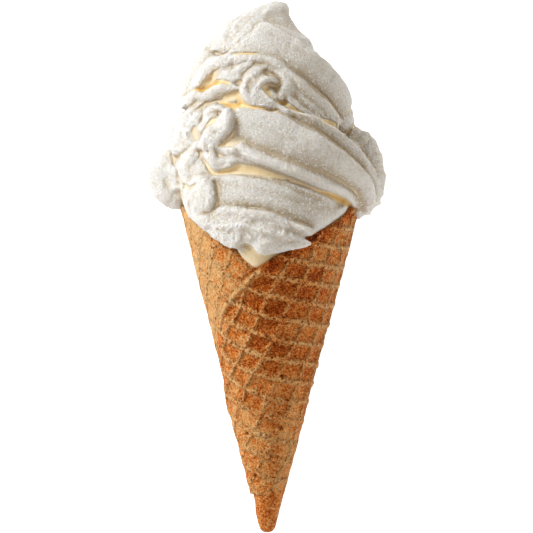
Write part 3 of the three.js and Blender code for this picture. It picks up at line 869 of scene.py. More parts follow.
# %% Ridges of the top hollow
TOP_RIDGES = [
    # the arch: a rounded lip from the crown down to the right, and the strand inside it
    [(191, 93, 1.0, 2.0, 1.4), (198, 84, 2.0, 2.6, 1.6), (205, 74, 2.4, 3.0, 2.0), (212, 65, 2.4, 3.0, 2.6),
     (221, 60, 2.2, 2.2, 3.0), (233, 57.5, 2.0, 1.4, 2.6), (247, 57.5, 2.0, 1.1, 1.5),
     (262, 58.5, 2.2, 1.1, 2.2), (274, 62, 2.4, 1.3, 2.6), (285, 70, 2.6, 1.5, 2.6), (297, 80, 2.8, 1.6, 3.0),
     (309, 91, 3.0, 1.6, 3.4), (320, 101, 3.2, 1.6, 3.6), (330, 112, 3.2, 1.6, 3.2),
     (337, 121, 2.6, 1.4, 2.2)],
    [(268, 67, 1.0, 0.8, 1.2), (280, 74, 1.7, 0.8, 1.7), (292, 87, 2.0, 0.9, 2.0), (304, 99, 2.0, 0.9, 2.0),
     (316, 110, 1.7, 0.9, 2.0), (326, 119, 1.0, 0.9, 1.6)],
    # lumps under the arch
    [(222, 78, 1.2, 1.8, 2.0), (229, 73, 2.0, 1.6, 2.4), (237, 70.5, 2.0, 1.4, 2.4),
     (245, 66.5, 1.6, 1.1, 1.8), (252, 61.5, 0.9, 0.9, 1.1)],
    [(223, 79, 1.5, 1.6, 1.6), (231, 79.5, 1.9, 1.6, 1.6), (240, 77, 1.4, 1.4, 1.4)],
    # the ridge under the left cave
    [(183, 104, 1.2, 1.6, 2.4), (190, 97, 2.0, 1.3, 3.0), (197, 93, 2.5, 0.8, 3.6), (205, 94, 2.7, 0.7, 3.6),
     (212, 90, 2.9, 0.7, 3.6), (218, 86.5, 2.9, 0.7, 3.4), (226, 86, 2.7, 0.8, 3.0),
     (234, 86.5, 2.4, 0.9, 2.2), (240, 88, 1.6, 0.9, 1.4)],
    # the top hook: its body, outer curl, tongue, and the strands right of it
    [(262, 76, 1.2, 2.4, 2.2), (254, 84, 2.6, 3.6, 3.0), (252, 94, 3.2, 4.0, 3.2), (258, 102, 3.2, 3.4, 2.8),
     (268, 106, 2.8, 2.8, 2.2), (280, 111, 2.0, 2.0, 1.8)],
    [(268, 65.5, 0.8, 0.7, 0.9), (261, 69.5, 2.0, 1.2, 1.6), (254, 74, 2.9, 1.5, 1.9),
     (248, 80.5, 3.3, 1.7, 2.0), (245, 88, 3.6, 1.9, 2.1), (246, 95, 3.8, 2.4, 2.1),
     (250, 101, 3.8, 2.8, 2.0), (257, 104.5, 3.5, 2.8, 1.8), (265, 107, 3.0, 2.8, 1.6),
     (273, 109.5, 2.4, 2.4, 1.4), (281, 113, 1.8, 1.6, 1.1)],
    [(276, 81.5, 1.8, 0.9, 1.0), (270.5, 80, 3.4, 1.4, 1.3), (265, 81, 4.1, 1.8, 1.5),
     (260, 85, 4.3, 2.2, 1.7), (256, 91, 4.4, 2.8, 2.0), (256, 97, 4.2, 3.2, 2.4), (260, 102, 3.5, 2.8, 2.8)],
    [(260, 87, 2.8, 1.4, 1.6), (262.5, 93, 3.7, 1.0, 3.2), (267, 99, 3.6, 1.0, 3.4),
     (273, 104, 3.3, 1.1, 3.4), (281, 109, 2.7, 1.2, 2.8), (289, 114, 1.6, 1.1, 1.6)],
    [(280, 72, 1.4, 2.2, 1.8), (286, 80, 2.4, 2.8, 1.9), (287, 90, 2.6, 2.9, 1.7), (290, 100, 2.2, 2.6, 1.6),
     (300, 108, 1.6, 2.0, 1.6)],
    [(264, 88, 1.2, 2.0, 2.0), (269, 93, 1.9, 2.8, 2.8), (275, 98, 1.8, 2.4, 2.4)],
    [(286, 78, 1.6, 1.4, 1.2), (284.5, 85, 2.2, 1.8, 1.4), (282, 92, 2.4, 2.0, 1.4),
     (281, 98, 1.9, 1.6, 1.4)],
    [(272, 70, 1.2, 1.3, 1.2), (280, 74, 2.2, 1.3, 1.2), (288, 82, 2.6, 1.3, 1.3), (293, 92, 2.2, 1.2, 1.2)],
    [(293, 82, 1.2, 1.1, 1.1), (298, 93, 1.9, 1.2, 1.2), (305, 104, 1.4, 1.1, 1.1)],
    [(289, 105, 1.0, 0.8, 2.0), (300, 109, 1.6, 0.9, 2.2), (312, 115, 1.6, 0.9, 2.0),
     (322, 121.5, 1.0, 0.9, 1.6)],
]
print(len(TOP_RIDGES), "ridges in the top hollow")

# %% [markdown]
# The crest of the second band is a sharp edge with a long soft slope below it, and its lip
# is rough and broad. The front lobe's crest repeats that in small.

# %% Ridges of the second band and the front lobe
BAND_RIDGES = [
    # crest of the second band
    [(234, 109, 1.0, 0.9, 5.0), (248, 109.5, 1.4, 0.8, 6.0), (262, 111.5, 1.6, 0.8, 6.0),
     (276, 115.5, 1.7, 0.8, 6.0), (290, 121, 1.8, 0.8, 6.0), (303, 127, 1.9, 0.9, 6.4),
     (317, 135.5, 2.1, 0.9, 6.8), (331, 145.5, 2.3, 0.9, 7.0), (345, 156.5, 2.4, 0.9, 7.0),
     (357, 167.5, 2.5, 0.9, 7.0), (366, 179, 2.5, 0.9, 6.4), (371.5, 191, 2.3, 0.9, 5.4),
     (372.5, 202, 1.8, 0.9, 4.0), (369, 212, 1.0, 0.9, 3.0)],
    # its lip, rough and broad
    [(218, 148, 1.8, 0.9, 1.8), (226, 149.5, 2.3, 0.9, 2.2), (234, 148.5, 2.2, 1.0, 2.4),
     (242, 146, 1.8, 1.2, 2.2), (250, 151.5, 1.6, 1.8, 2.4), (262, 157.5, 1.5, 2.4, 2.6),
     (276, 163.5, 1.5, 2.8, 2.8), (291, 169, 1.6, 2.8, 2.8), (306, 175, 1.7, 2.8, 2.8),
     (321, 181, 1.8, 2.8, 2.6), (335, 187.5, 1.9, 2.6, 2.2), (347, 195, 1.8, 2.2, 1.6),
     (353, 203, 1.0, 1.6, 1.0)],
    [(216, 160, 1.7, 1.6, 1.4), (224, 161.5, 1.5, 1.4, 1.2), (233, 159, 1.2, 1.4, 1.2)],
    [(220, 168, 1.0, 0.9, 1.0), (228, 166, 1.4, 0.9, 1.0), (236, 161, 0.8, 0.8, 0.9)],
    # a thin fold in the recess, and the crest of the front lobe
    [(272, 180, 0.4, 0.8, 0.9), (288, 183.5, 1.0, 0.9, 1.1), (304, 189, 1.3, 0.9, 1.2),
     (320, 195.5, 1.3, 0.9, 1.2), (334, 202, 0.8, 0.8, 1.0)],
    [(207, 179, 0.8, 0.8, 1.8), (216, 177.5, 1.2, 0.7, 2.4), (226, 176, 1.3, 0.7, 2.6),
     (241, 177.5, 1.2, 0.8, 2.6), (257, 180, 1.1, 0.8, 3.0), (273, 183.5, 1.1, 0.9, 3.4),
     (291, 188.5, 1.2, 0.9, 3.6), (309, 195, 1.3, 0.9, 3.4), (325, 201.5, 1.3, 0.9, 2.8),
     (337, 207, 1.0, 0.9, 2.2), (343, 212, 0.6, 0.8, 1.4)],
]
print(len(BAND_RIDGES), "ridges along the bands")

# %% [markdown]
# At the left the cream hangs in folds like cloth drawn up to the right. They gather in two
# curls: a hook at the middle, and a low curl beside the front lobe.

# %% Ridges of the left side
LEFT_RIDGES = [
    # folds of the left side
    [(173, 121, 1.0, 1.4, 1.3), (179, 111, 1.7, 1.6, 1.4), (186, 102, 1.8, 1.6, 1.4),
     (192, 96, 1.4, 1.4, 1.2)],
    [(180, 133, 1.0, 1.4, 1.2), (183, 125, 1.9, 1.6, 1.3), (188, 116, 2.2, 1.6, 1.5),
     (195, 109, 2.2, 1.4, 1.6), (201, 104, 1.7, 1.1, 1.3), (206, 99, 1.0, 0.9, 1.0)],
    [(187, 129, 1.0, 1.8, 1.6), (192, 121, 1.9, 1.8, 2.4), (198, 114, 1.9, 1.6, 2.2),
     (206, 109, 1.4, 1.3, 1.6)],
    [(167, 141, 0.8, 1.0, 1.4), (167.5, 132, 1.5, 1.2, 1.4), (172, 123, 1.4, 1.2, 1.2),
     (178, 116, 0.8, 1.0, 1.0)],
    [(177, 124, 0.8, 0.8, 0.9), (177.5, 132, 1.4, 0.9, 0.9), (181, 140, 0.8, 0.9, 0.9)],
    [(185, 128, 0.8, 0.8, 0.9), (186, 136, 1.5, 0.9, 0.9), (190, 143, 1.0, 1.0, 1.0)],
    [(200, 145, 1.6, 2.2, 2.0), (194, 152, 2.2, 2.6, 2.6), (188, 159, 2.2, 2.6, 2.6),
     (184, 167, 1.8, 2.2, 2.4), (184, 176, 1.2, 1.8, 2.0)],
    [(173, 146, 0.9, 1.0, 1.2), (176.5, 155, 1.6, 1.2, 0.8), (178, 164, 1.5, 1.2, 0.8),
     (182, 174, 1.5, 1.4, 0.8), (187, 184, 0.9, 1.0, 0.8)],
]
print(len(LEFT_RIDGES), "ridges at the left")

# %% Ridges of the middle hook and the low curl
CURL_RIDGES = [
    # the middle hook: its body, a strand beside its top, and its loop
    [(229, 115, 3.4, 3.4, 3.2), (223, 124, 4.6, 4.0, 3.6), (216, 132, 5.0, 4.6, 3.6),
     (209.5, 141, 5.0, 4.8, 2.8), (208.5, 151, 4.6, 4.2, 2.6), (213, 162, 3.4, 3.0, 2.4),
     (218, 168, 1.8, 1.8, 1.8)],
    [(202, 128, 2.6, 1.6, 1.6), (208, 123, 3.4, 1.8, 1.8), (213, 119, 3.6, 2.0, 2.0),
     (219, 117, 3.4, 2.0, 2.0)],
    [(206, 122, 2.6, 1.4, 1.6), (209, 115.5, 3.7, 1.8, 2.2), (214.5, 110.4, 4.3, 2.1, 2.6),
     (221, 109, 4.6, 2.2, 2.8), (227, 113, 4.5, 2.4, 2.6), (229, 120, 4.6, 2.6, 2.6),
     (226, 127, 4.4, 2.8, 2.6), (221, 134, 4.4, 2.8, 2.6)],
    # the low curl beside the front lobe: its body, its loop, two fine ridges on it and a nub
    [(206, 184, 3.4, 3.0, 3.0), (203, 193, 4.4, 4.4, 4.8), (201, 204, 4.4, 4.8, 5.2),
     (202, 214, 3.7, 4.4, 4.6), (207, 223, 1.8, 3.0, 3.0)],
    [(191.5, 184, 2.2, 1.4, 1.4), (198, 180.5, 3.3, 1.6, 2.6), (206, 182, 3.9, 2.0, 3.4),
     (210, 189, 4.0, 2.4, 4.0), (211, 199, 3.7, 2.6, 4.2), (208, 208, 3.2, 2.6, 4.0),
     (206, 217, 2.0, 2.4, 3.0)],
    [(201, 186, 4.1, 0.9, 1.0), (195, 193, 4.3, 0.9, 1.0), (190.5, 203, 4.1, 0.9, 1.0),
     (191, 213, 3.0, 0.9, 0.9)],
    [(206, 190, 4.4, 0.8, 1.0), (201, 198, 4.9, 0.8, 1.0), (198, 207, 4.8, 0.8, 1.0),
     (198, 217, 3.4, 0.8, 0.9)],
    [(173, 188.5, 1.5, 1.0, 1.0), (180, 187, 1.2, 0.9, 0.9)],
]
print(len(CURL_RIDGES), "ridges in the two curls")

# %% [markdown]
# The crown has soft ridges where the swirl was drawn up, and the drape a bumpy crest that
# runs out into a small point.

# %% Ridges of the crown and the drape
CROWN_RIDGES = [
    # the ridge that bounds the top face, three short ones left of it, knob and crest
    [(262, 17, 0.7, 1.4, 1.4), (256, 22, 1.0, 1.8, 2.0), (249, 29, 1.2, 2.0, 2.4), (245, 36, 1.5, 1.8, 2.6),
     (240, 42, 1.7, 1.8, 2.6), (232, 48, 1.5, 1.8, 2.4), (221, 54, 0.9, 1.6, 1.8)],
    [(241, 20, 0.5, 1.6, 1.4), (236, 26, 1.1, 2.0, 1.6), (233, 34, 0.7, 1.6, 1.4)],
    [(229, 29, 0.5, 1.4, 1.4), (223, 35, 1.1, 1.8, 1.5), (219, 43, 0.5, 1.6, 1.4)],
    [(233, 42, 0.5, 1.4, 1.2), (226, 46, 0.9, 1.4, 1.2), (213, 49, 0.8, 1.4, 1.2)],
    [(254, 20, 1.2, 1.0, 1.0), (261, 20.5, 1.6, 1.0, 1.1)],
    [(272, 7, 0.7, 0.9, 1.0), (266, 13, 1.2, 0.9, 1.0), (262, 19, 0.9, 0.9, 1.0)],
    [(262, 22, 0.6, 1.0, 2.0), (275, 27, 1.0, 1.6, 2.6), (290, 34, 1.2, 2.2, 3.0), (305, 43, 1.2, 2.4, 3.2),
     (318, 53, 1.0, 2.4, 3.2), (330, 66, 0.7, 2.2, 3.0)],
    # the drape: bumpy crest, a fold across it and the drawn-out point at its right end
    [(190, 215, 0.8, 1.0, 1.2), (200, 212, 1.3, 1.1, 1.6), (211, 214, 1.3, 0.9, 1.6),
     (222, 209, 2.0, 0.9, 2.0), (234, 208.5, 1.9, 0.9, 2.2), (248, 211, 1.9, 0.9, 2.2),
     (262, 213, 1.9, 0.9, 2.2), (276, 217.5, 1.9, 0.9, 2.2), (290, 223, 1.8, 0.9, 2.0),
     (302, 228, 1.6, 0.9, 1.6), (312, 232.5, 1.0, 0.8, 1.0)],
    [(206, 224, 0.6, 1.4, 1.4), (222, 227, 1.2, 1.4, 1.6), (240, 225, 1.2, 1.4, 1.6),
     (258, 229, 1.3, 1.4, 1.6), (278, 233, 1.3, 1.2, 1.6), (298, 239, 1.2, 1.1, 1.2),
     (311, 243.5, 0.8, 0.8, 0.8)],
    [(300, 235.5, 0.4, 0.7, 0.8), (308, 234.5, 0.9, 0.8, 0.8), (313, 233, 0.6, 0.7, 0.7)],
]
RIDGES = TOP_RIDGES + BAND_RIDGES + LEFT_RIDGES + CURL_RIDGES + CROWN_RIDGES
print(len(RIDGES), "ridges in all")

# %% [markdown]
# Pockets are the deepest places, between and under the ridges. A row is a place on the
# drawing grid, half the pocket's width in millimetres and its strength. The ground sinks
# there, and later the finish paints a warm glow and shade into it.

# %% Pockets
POCKETS = [
    # the cave left of the top hook, and its softer back wall
    [(189, 95, 0.9, 0.6), (197, 91, 1.1, 1.0), (205, 91, 1.3, 1.0), (211, 87, 1.3, 1.0), (218, 83, 1.0, 1.0),
     (228, 82.5, 0.7, 0.6)],
    [(203, 87, 2.0, 0.45), (211, 80, 2.2, 0.45), (215, 73, 1.6, 0.3)],
    # below the cave's ridge, and inside the top hook
    [(221, 103, 1.0, 0.9), (230, 106, 1.4, 1.0), (240, 105, 1.2, 1.0), (239, 96, 1.2, 0.6)],
    [(226, 99, 1.8, 0.45), (236, 96, 2.0, 0.5)],
    [(265, 87.5, 0.9, 0.6), (268, 91.5, 1.1, 0.7), (272, 96.5, 0.9, 0.5)],
    # over the arch, and the crown's soft crease
    [(232, 54.5, 0.5, 0.5), (244, 54.5, 0.6, 0.9), (257, 54.5, 0.5, 0.5)],
    [(223, 51, 0.8, 0.12), (214, 53, 1.1, 0.2), (207, 57, 1.1, 0.2), (202, 64, 1.0, 0.12)],
    # where the hollow meets the second band
    [(241, 102, 0.8, 0.7), (251, 107.5, 0.9, 0.8), (264, 110, 0.8, 0.8)],
    [(279, 102, 0.6, 0.9), (288, 105, 0.8, 0.7), (300, 113, 0.8, 0.8), (318, 119, 0.8, 0.7),
     (334, 124, 0.9, 0.9)],
    # round the middle hook
    [(206, 125, 1.2, 0.3), (211, 121, 1.4, 0.5), (215, 118.5, 1.1, 0.3)],
    [(194, 129, 1.6, 0.34), (196, 138, 1.6, 0.3)],
    [(221, 147, 1.2, 0.36), (230, 143, 2.6, 0.32), (239, 137, 4.4, 0.18), (237, 126, 4.0, 0.12)],
    # the recess under the second band
    [(204, 160, 0.6, 0.3), (210, 169, 0.8, 0.5), (217, 173.5, 1.1, 0.55), (228, 171, 1.7, 0.6),
     (241, 169, 2.0, 0.6), (256, 171, 1.7, 0.6), (271, 175, 1.1, 0.55), (284, 178.5, 0.6, 0.5)],
    [(290, 181, 0.6, 0.35), (304, 186, 0.6, 0.35), (318, 191.5, 0.8, 0.5), (331, 195.5, 1.2, 0.9),
     (341, 199.5, 1.4, 1.0), (349, 205, 1.0, 1.0)],
    # round the low curl, in the left lobe and at the far left
    [(181, 187, 1.1, 0.2), (187, 185.5, 1.4, 0.36), (195, 186, 1.4, 0.3)],
    [(217, 188, 1.6, 0.25), (216, 207, 1.6, 0.3)],
    [(164, 180, 1.4, 0.25), (169, 186, 1.4, 0.25)],
    [(178, 82, 0.6, 0.2), (179, 90, 0.6, 0.25)],
    # above the drape
    [(226, 204, 1.2, 0.05), (240, 203.5, 2.0, 0.10), (260, 206.5, 2.2, 0.12), (284, 213, 2.0, 0.13),
     (312, 225, 1.6, 0.08)],
]


def pocket_depth(points):
    """How strongly each point, given as seen, lies in one of the pockets: for each drawn
    line the strength times a bell curve of the distance over the half width."""
    deep = np.zeros(len(points))
    for stations in POCKETS:
        line = drawn_line(stations, 40)
        j, left, ahead, _ = beside(points, line)
        deep = np.maximum(deep, line[j, 3] * np.exp(-(left ** 2 + ahead ** 2) / line[j, 2] ** 2))
    return deep


print(len(POCKETS), "pockets")

# %% [markdown]
# Ridges and pockets make one height field over the part of the skin that faces the front.
# The skin moves out along its smoothed normals, leaning a little to the front, and a second
# remesh evens out the points that have been pulled apart.

# %% The skin pushed out
POCKET_SINK = 1.6
p, edges, n = points_of(skin), edges_of(skin), normals_of(skin)
facing = ease(-n[:, 1], 0.0, 0.3) * ease(-p[:, 1], 0, 8)
shown = np.flatnonzero(facing > 0)
seen = seen_place(p[shown])
height, shift = -POCKET_SINK * pocket_depth(seen), np.zeros((len(shown), 3))
for stations in RIDGES:
    raise_ridge(seen, height, shift, stations)
out = relaxed(n, edges, 25)[shown] + np.array([0, -0.8, 0])
out /= np.linalg.norm(out, axis=1, keepdims=True)
push = np.zeros_like(p)
push[shown] = (out * height[:, None] + shift) * facing[shown, None]
move_points(skin, p + relaxed(push, edges, 2))
skin = finished(skin, "soft_serve_skin",
                ("REMESH", dict(mode="VOXEL", voxel_size=FINE_VOXEL, adaptivity=0.0)),
                ("SMOOTH", dict(factor=0.5, iterations=2)))
print("second skin:", len(skin.vertices), "vertices")

# %% [markdown]
# The finish needs to know how deep each point lies, because it paints shade into the
# grooves. That is found by comparing the point with a smoothed copy of the skin: where the
# copy stands further out, the point is in a groove, and the more rounds of smoothing, the
# broader the grooves it finds. The pockets get a painted warm glow and shade, which stand
# in for light that comes back only after a long way through the cream, and the melted
# filling in the notch of the rim gets the same painted warm tint.

# %% Hollows and pockets of painted glow
def patch(points, middle, size):
    """1 near a place given by side and height, falling to 0 at its size, on the shown side."""
    away = np.hypot((points[:, 0] - middle[0]) / size[0], (points[:, 2] - middle[1]) / size[1])
    return ease(-away, -1.0, -0.55) * ease(-points[:, 1], -6, 6)


p, edges, n = points_of(skin), edges_of(skin), normals_of(skin)
# A crease on the crown, left by folds that meet there, is smoothed away first.
p += 0.9 * patch(p, (-4.8, 181.4), (5.5, 6.5))[:, None] * (relaxed(p, edges, 40) - p)
soft = relaxed(p, edges, 110)
hollow_wide = ((soft - p) * n).sum(1)
hollow_broad = ((relaxed(soft, edges, 200) - p) * n).sum(1)
hollow_fine = ((relaxed(p, edges, 16) - p) * n).sum(1)
# Painted glow and shade in the pockets: a warm tint that stands in for light that comes back through the
# cream.
painted_glow = np.zeros(len(p))
front = np.flatnonzero(p[:, 1] < 0)
painted_glow[front] = pocket_depth(seen_place(p[front]))
painted_glow *= ease(hollow_fine + 0.4 * hollow_wide, -0.45, 0.2)
# The melted filling in the notch of the rim gets the same painted warm tint.
painted_glow = np.maximum(painted_glow, 0.42 * patch(p, (-3, 98), (10, 7)) * ease(p[:, 1], -30.4, -29.2))
print("hollow from", hollow_wide.min().round(2), "to", hollow_wide.max().round(2), "mm")
print("warm share", (painted_glow > 0.3).mean().round(3))

# %% [markdown]
# The skin then gets what the folds alone don't have: soft lumps all over, foamy patches
# where air broke out, and frost, which is coarsest on the crests and leaves the pockets of
# painted glow smooth.

# %% Lumps, foam and frost
# Foamy patches: middle (side and height), size, strength.
FOAMY = [((-8, 107.5), (24, 9), 1.0), ((-28, 136), (12, 22), 1.0), ((-14, 164), (16, 7), 1.0),
         ((-14, 178), (12, 8), 1.0), ((-14, 135), (14, 6), 0.8)]
foam = np.max([strength * patch(p, middle, size) for middle, size, strength in FOAMY], axis=0)
crest = ease(-hollow_fine, 0.05, 0.4)
lumps = 0.26 * hills(p, 7.0, 1) + 0.14 * hills(p, 3.2, 2)
lumps += foam * (0.34 * hills(p, 2.0, 3) + 0.26 * hills(p, 3.6, 5))
lumps += (0.15 + 0.26 * crest + 0.16 * foam) * (1 - painted_glow.clip(0, 1)) * hills(p, 0.95, 4)
p = p + n * lumps[:, None]
print("lumps up to", np.abs(lumps).max().round(2), "mm")

# %% [markdown]
# Last, the skin is laid down, pressed flat where it meets the table, and becomes the piece.
# It has far more faces than it needs, so it is thinned.

# %% The soft serve piece
FACES_KEPT = 96000
laid = lay(p)
laid[:, 2] = np.maximum(laid[:, 2], 0.0)
move_points(skin, laid)
# How hollow a point lies; the finish paints shade into the grooves from it.
hollow = np.clip(0.47 + 0.12 * hollow_broad + 0.15 * hollow_wide + 0.40 * hollow_fine, 0, 1)
add_values(skin, "hollow", hollow)
add_values(skin, "foam", foam)
# The painted warm glow of the pockets, read by the finish.
add_values(skin, "painted_glow", painted_glow)
ratio = min(1.0, FACES_KEPT / len(skin.polygons))
skin = finished(skin, "soft_serve_swirl", ("DECIMATE", dict(ratio=ratio)))
skin.polygons.foreach_set("use_smooth", [True] * len(skin.polygons))
print("after thinning:", len(skin.polygons), "faces, attributes", [a.name for a in skin.attributes])
serve = bpy.data.objects.new("soft_serve_swirl", skin)
scene.collection.objects.link(serve)
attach(serve, "root")
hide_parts("soft_serve")

# %% [markdown]
# ## Finishes
# Small helpers keep node set-up short: some add a node with its settings and inputs, some
# do sums, and some turn a number into a colour or into relief.

# %% Node helpers
def new_material(name):
    """An empty node material with a Principled shader on its output."""
    material = bpy.data.materials.new(name)
    material.use_nodes = True
    tree = material.node_tree
    tree.nodes.clear()
    output = tree.nodes.new("ShaderNodeOutputMaterial")
    shader = tree.nodes.new("ShaderNodeBsdfPrincipled")
    tree.links.new(shader.outputs[0], output.inputs[0])
    return material, tree, shader


def node(tree, kind, inputs=None, **settings):
    """Adds a node, sets its properties, and sets or links its inputs."""
    made = tree.nodes.new(kind)
    for key, value in settings.items():
        setattr(made, key, value)
    for key, value in (inputs or {}).items():
        if isinstance(value, bpy.types.NodeSocket):
            tree.links.new(value, made.inputs[key])
        else:
            made.inputs[key].default_value = value
    return made


def attribute(tree, name):
    """A number that the mesh carries on its points."""
    return node(tree, "ShaderNodeAttribute", attribute_name=name).outputs["Fac"]


def noise(tree, vector, scale, detail, **settings):
    """Noise round 0.5, from coarse hills down to as many finer sizes as the detail says."""
    inputs = {"Vector": vector, "Scale": scale, "Detail": detail, **settings}
    return node(tree, "ShaderNodeTexNoise", inputs).outputs["Fac"]


# %% Helpers for sums and slopes
def maths(tree, kind, *values):
    """One Math node; gives its output."""
    return node(tree, "ShaderNodeMath", dict(enumerate(values)), operation=kind).outputs[0]


def plus(tree, *values):
    """The first two values added up, and then every further one."""
    total = values[0]
    for value in values[1:]:
        total = maths(tree, "ADD", total, value)
    return total


def times(tree, *values):
    """The values multiplied."""
    total = values[0]
    for value in values[1:]:
        total = maths(tree, "MULTIPLY", total, value)
    return total


def scaled(tree, value, share, more=0.0):
    """The value times a share, plus something."""
    return maths(tree, "MULTIPLY_ADD", value, share, more)


def slope(tree, value, low, high, start=0.0, end=1.0):
    """Smooth step of a value from low to high, put out from start to end."""
    made = node(tree, "ShaderNodeMapRange", {0: value, 1: low, 2: high, 3: start, 4: end},
                interpolation_type="SMOOTHSTEP")
    return made.outputs[0]


# %% Helpers for colours and relief
def blend(tree, factor, first, second, mode="MIX"):
    """Mix of two colours."""
    made = node(tree, "ShaderNodeMix", data_type="RGBA", blend_type=mode)
    for key, value in ((0, factor), (6, first), (7, second)):
        if isinstance(value, bpy.types.NodeSocket):
            tree.links.new(value, made.inputs[key])
        else:
            made.inputs[key].default_value = (*value, 1) if np.ndim(value) else value
    return made.outputs[2]


def ramp(tree, factor, *stops):
    """A colour ramp over the given stops of (place, colour)."""
    made = node(tree, "ShaderNodeValToRGB", {0: factor})
    elements = made.color_ramp.elements
    while len(elements) < len(stops):
        elements.new(0.5)
    for element, (place, colour) in zip(elements, stops):
        element.position = place
        element.color = (*colour, 1)
    return made.outputs[0]


def roughen(tree, shader, rise, distance):
    """Bumps the shader's normal by a height, in metres for a height of one."""
    bump = node(tree, "ShaderNodeBump", {"Height": rise, "Strength": 1.0, "Distance": distance})
    tree.links.new(bump.outputs[0], shader.inputs["Normal"])


# %% [markdown]
# Frost and crumb are the same kind of thing: grains of uneven size with round spots among
# them, which are ice crystals on the cream and pin holes in the wafer. One node group makes
# both, so that each finish only chooses the size. It puts out the grains as a value round
# 0.5, and the spots as a mask.

# %% The grain group
def grain_group():
    """Grains: noise of four sizes added up. Pits: round spots in the middle of scattered
    cells, each as wide as its cell's random number says."""
    group = bpy.data.node_groups.new("grain", "ShaderNodeTree")
    group.interface.new_socket("Vector", in_out="INPUT", socket_type="NodeSocketVector")
    group.interface.new_socket("Scale", in_out="INPUT", socket_type="NodeSocketFloat")
    group.interface.new_socket("Grains", in_out="OUTPUT", socket_type="NodeSocketFloat")
    group.interface.new_socket("Pits", in_out="OUTPUT", socket_type="NodeSocketFloat")
    given = group.nodes.new("NodeGroupInput")
    wanted = group.nodes.new("NodeGroupOutput")
    vector, scale = given.outputs["Vector"], given.outputs["Scale"]
    group.links.new(noise(group, vector, scale, 3.0, Roughness=0.68), wanted.inputs["Grains"])
    finer = times(group, scale, 0.9)
    cells = node(group, "ShaderNodeTexVoronoi", {"Vector": vector, "Scale": finer}, feature="F1")
    lot = node(group, "ShaderNodeSeparateColor", {0: cells.outputs["Color"]})
    size = scaled(group, lot.outputs[0], 0.34, 0.14)
    inside = maths(group, "SUBTRACT", size, cells.outputs["Distance"])
    group.links.new(slope(group, inside, 0.0, 0.12), wanted.inputs["Pits"])
    return group


GRAIN = grain_group()


def grain(tree, vector, scale):
    """Places the grain group; gives its grains and its pits."""
    made = node(tree, "ShaderNodeGroup", node_tree=GRAIN)
    tree.links.new(vector, made.inputs["Vector"])
    made.inputs["Scale"].default_value = scale
    return made.outputs["Grains"], made.outputs["Pits"]


# %% [markdown]
# Soft serve is milk foam full of tiny ice crystals. Light goes in and comes back out warmer,
# most of all in the hollows; the colour paints this in as shade, so the cream is whitest on
# its crests and creamy in its grooves, and the pockets get a painted warm glow.

# %% The cream's colour
FROST_SCALE, FINE_FROST_SCALE = 960.0, 1800.0
cream, tree, shader = new_material("soft_serve_cream")
place = node(tree, "ShaderNodeTexCoord").outputs["Object"]
deep, painted_glow, foamy = (attribute(tree, name) for name in ("hollow", "painted_glow", "foam"))
coarse, dots = grain(tree, place, FROST_SCALE)
fine, specks = grain(tree, place, FINE_FROST_SCALE)
# Painted shade: the deeper in a groove a point lies, the darker and warmer its colour.
body = ramp(tree, deep, (0.0, (0.94, 0.935, 0.93)), (0.38, (0.84, 0.825, 0.80)), (0.50, (0.67, 0.60, 0.495)),
            (0.62, (0.60, 0.505, 0.37)), (1.0, (0.55, 0.42, 0.27)))
open_face = slope(tree, maths(tree, "MAXIMUM", painted_glow, plus(tree, deep, -0.45)), 0.30, 0.08)
body = blend(tree, times(tree, foamy, open_face, 0.6), body, (0.93, 0.925, 0.915))
# Painted glow: the pockets' warm colour stands in for light scattered through the cream.
glow = ramp(tree, painted_glow, (0.0, (0.73, 0.65, 0.50)), (0.5, (0.75, 0.61, 0.37)), (1.0, (0.75, 0.49, 0.15)))
body = blend(tree, slope(tree, painted_glow, 0.02, 0.5), body, glow)

# %% [markdown]
# The open faces carry a frost of crystals that glitter: white, partly their own colour and
# partly painted glints, smoother than the foam round them, standing a little proud of it,
# and thicker in some patches than in others.

# %% The cream's frost
patchy = noise(tree, place, 90.0, 2.0)
# Frost: white dots, partly the crystals' own colour and partly painted glints.
frost_and_painted_glint = times(tree, maths(tree, "MAXIMUM", dots, times(tree, specks, 0.9)), open_face)
thick = times(tree, slope(tree, patchy, 0.34, 0.54, 0.75, 1.1), slope(tree, deep, 0.50, 0.36, 0.8, 1.2))
frost_and_painted_glint = times(tree, frost_and_painted_glint, thick)
shade = times(tree, slope(tree, coarse, 0.56, 0.40), slope(tree, open_face, 0.0, 1.0, 0.3, 1.0))
colour = blend(tree, times(tree, shade, 0.5), body, (0.80, 0.75, 0.66), "MULTIPLY")
# The frost mixes in white: partly frost colour, partly painted glints.
colour = blend(tree, frost_and_painted_glint, colour, (1.0, 1.0, 1.0))
tree.links.new(colour, shader.inputs["Base Color"])
tree.links.new(slope(tree, frost_and_painted_glint, 0.0, 1.0, 0.55, 0.25), shader.inputs["Roughness"])
shader.inputs["Specular IOR Level"].default_value = 0.6
shader.subsurface_method = "BURLEY"
shader.inputs["Subsurface Weight"].default_value = 0.6
shader.inputs["Subsurface Radius"].default_value = (1.0, 0.70, 0.38)
shader.inputs["Subsurface Scale"].default_value = 0.0016
rise = scaled(tree, frost_and_painted_glint, 0.7, scaled(tree, fine, 0.8, coarse))
roughen(tree, shader, times(tree, rise, scaled(tree, open_face, 0.85, 0.15)), 0.0022)
serve.data.materials.append(cream)
print("cream:", len(tree.nodes), "nodes")

# %% [markdown]
# The wafer is golden where it stands up and brown where it was pressed against the hot
# iron, with dark pin holes, dark partly as painted shade inside them, and pale crumbs. The
# ribs are worked out again from the grid coordinates that the mesh carries as its UV map,
# so they are crisper than the mesh. Crumbs and patches fray their edges.

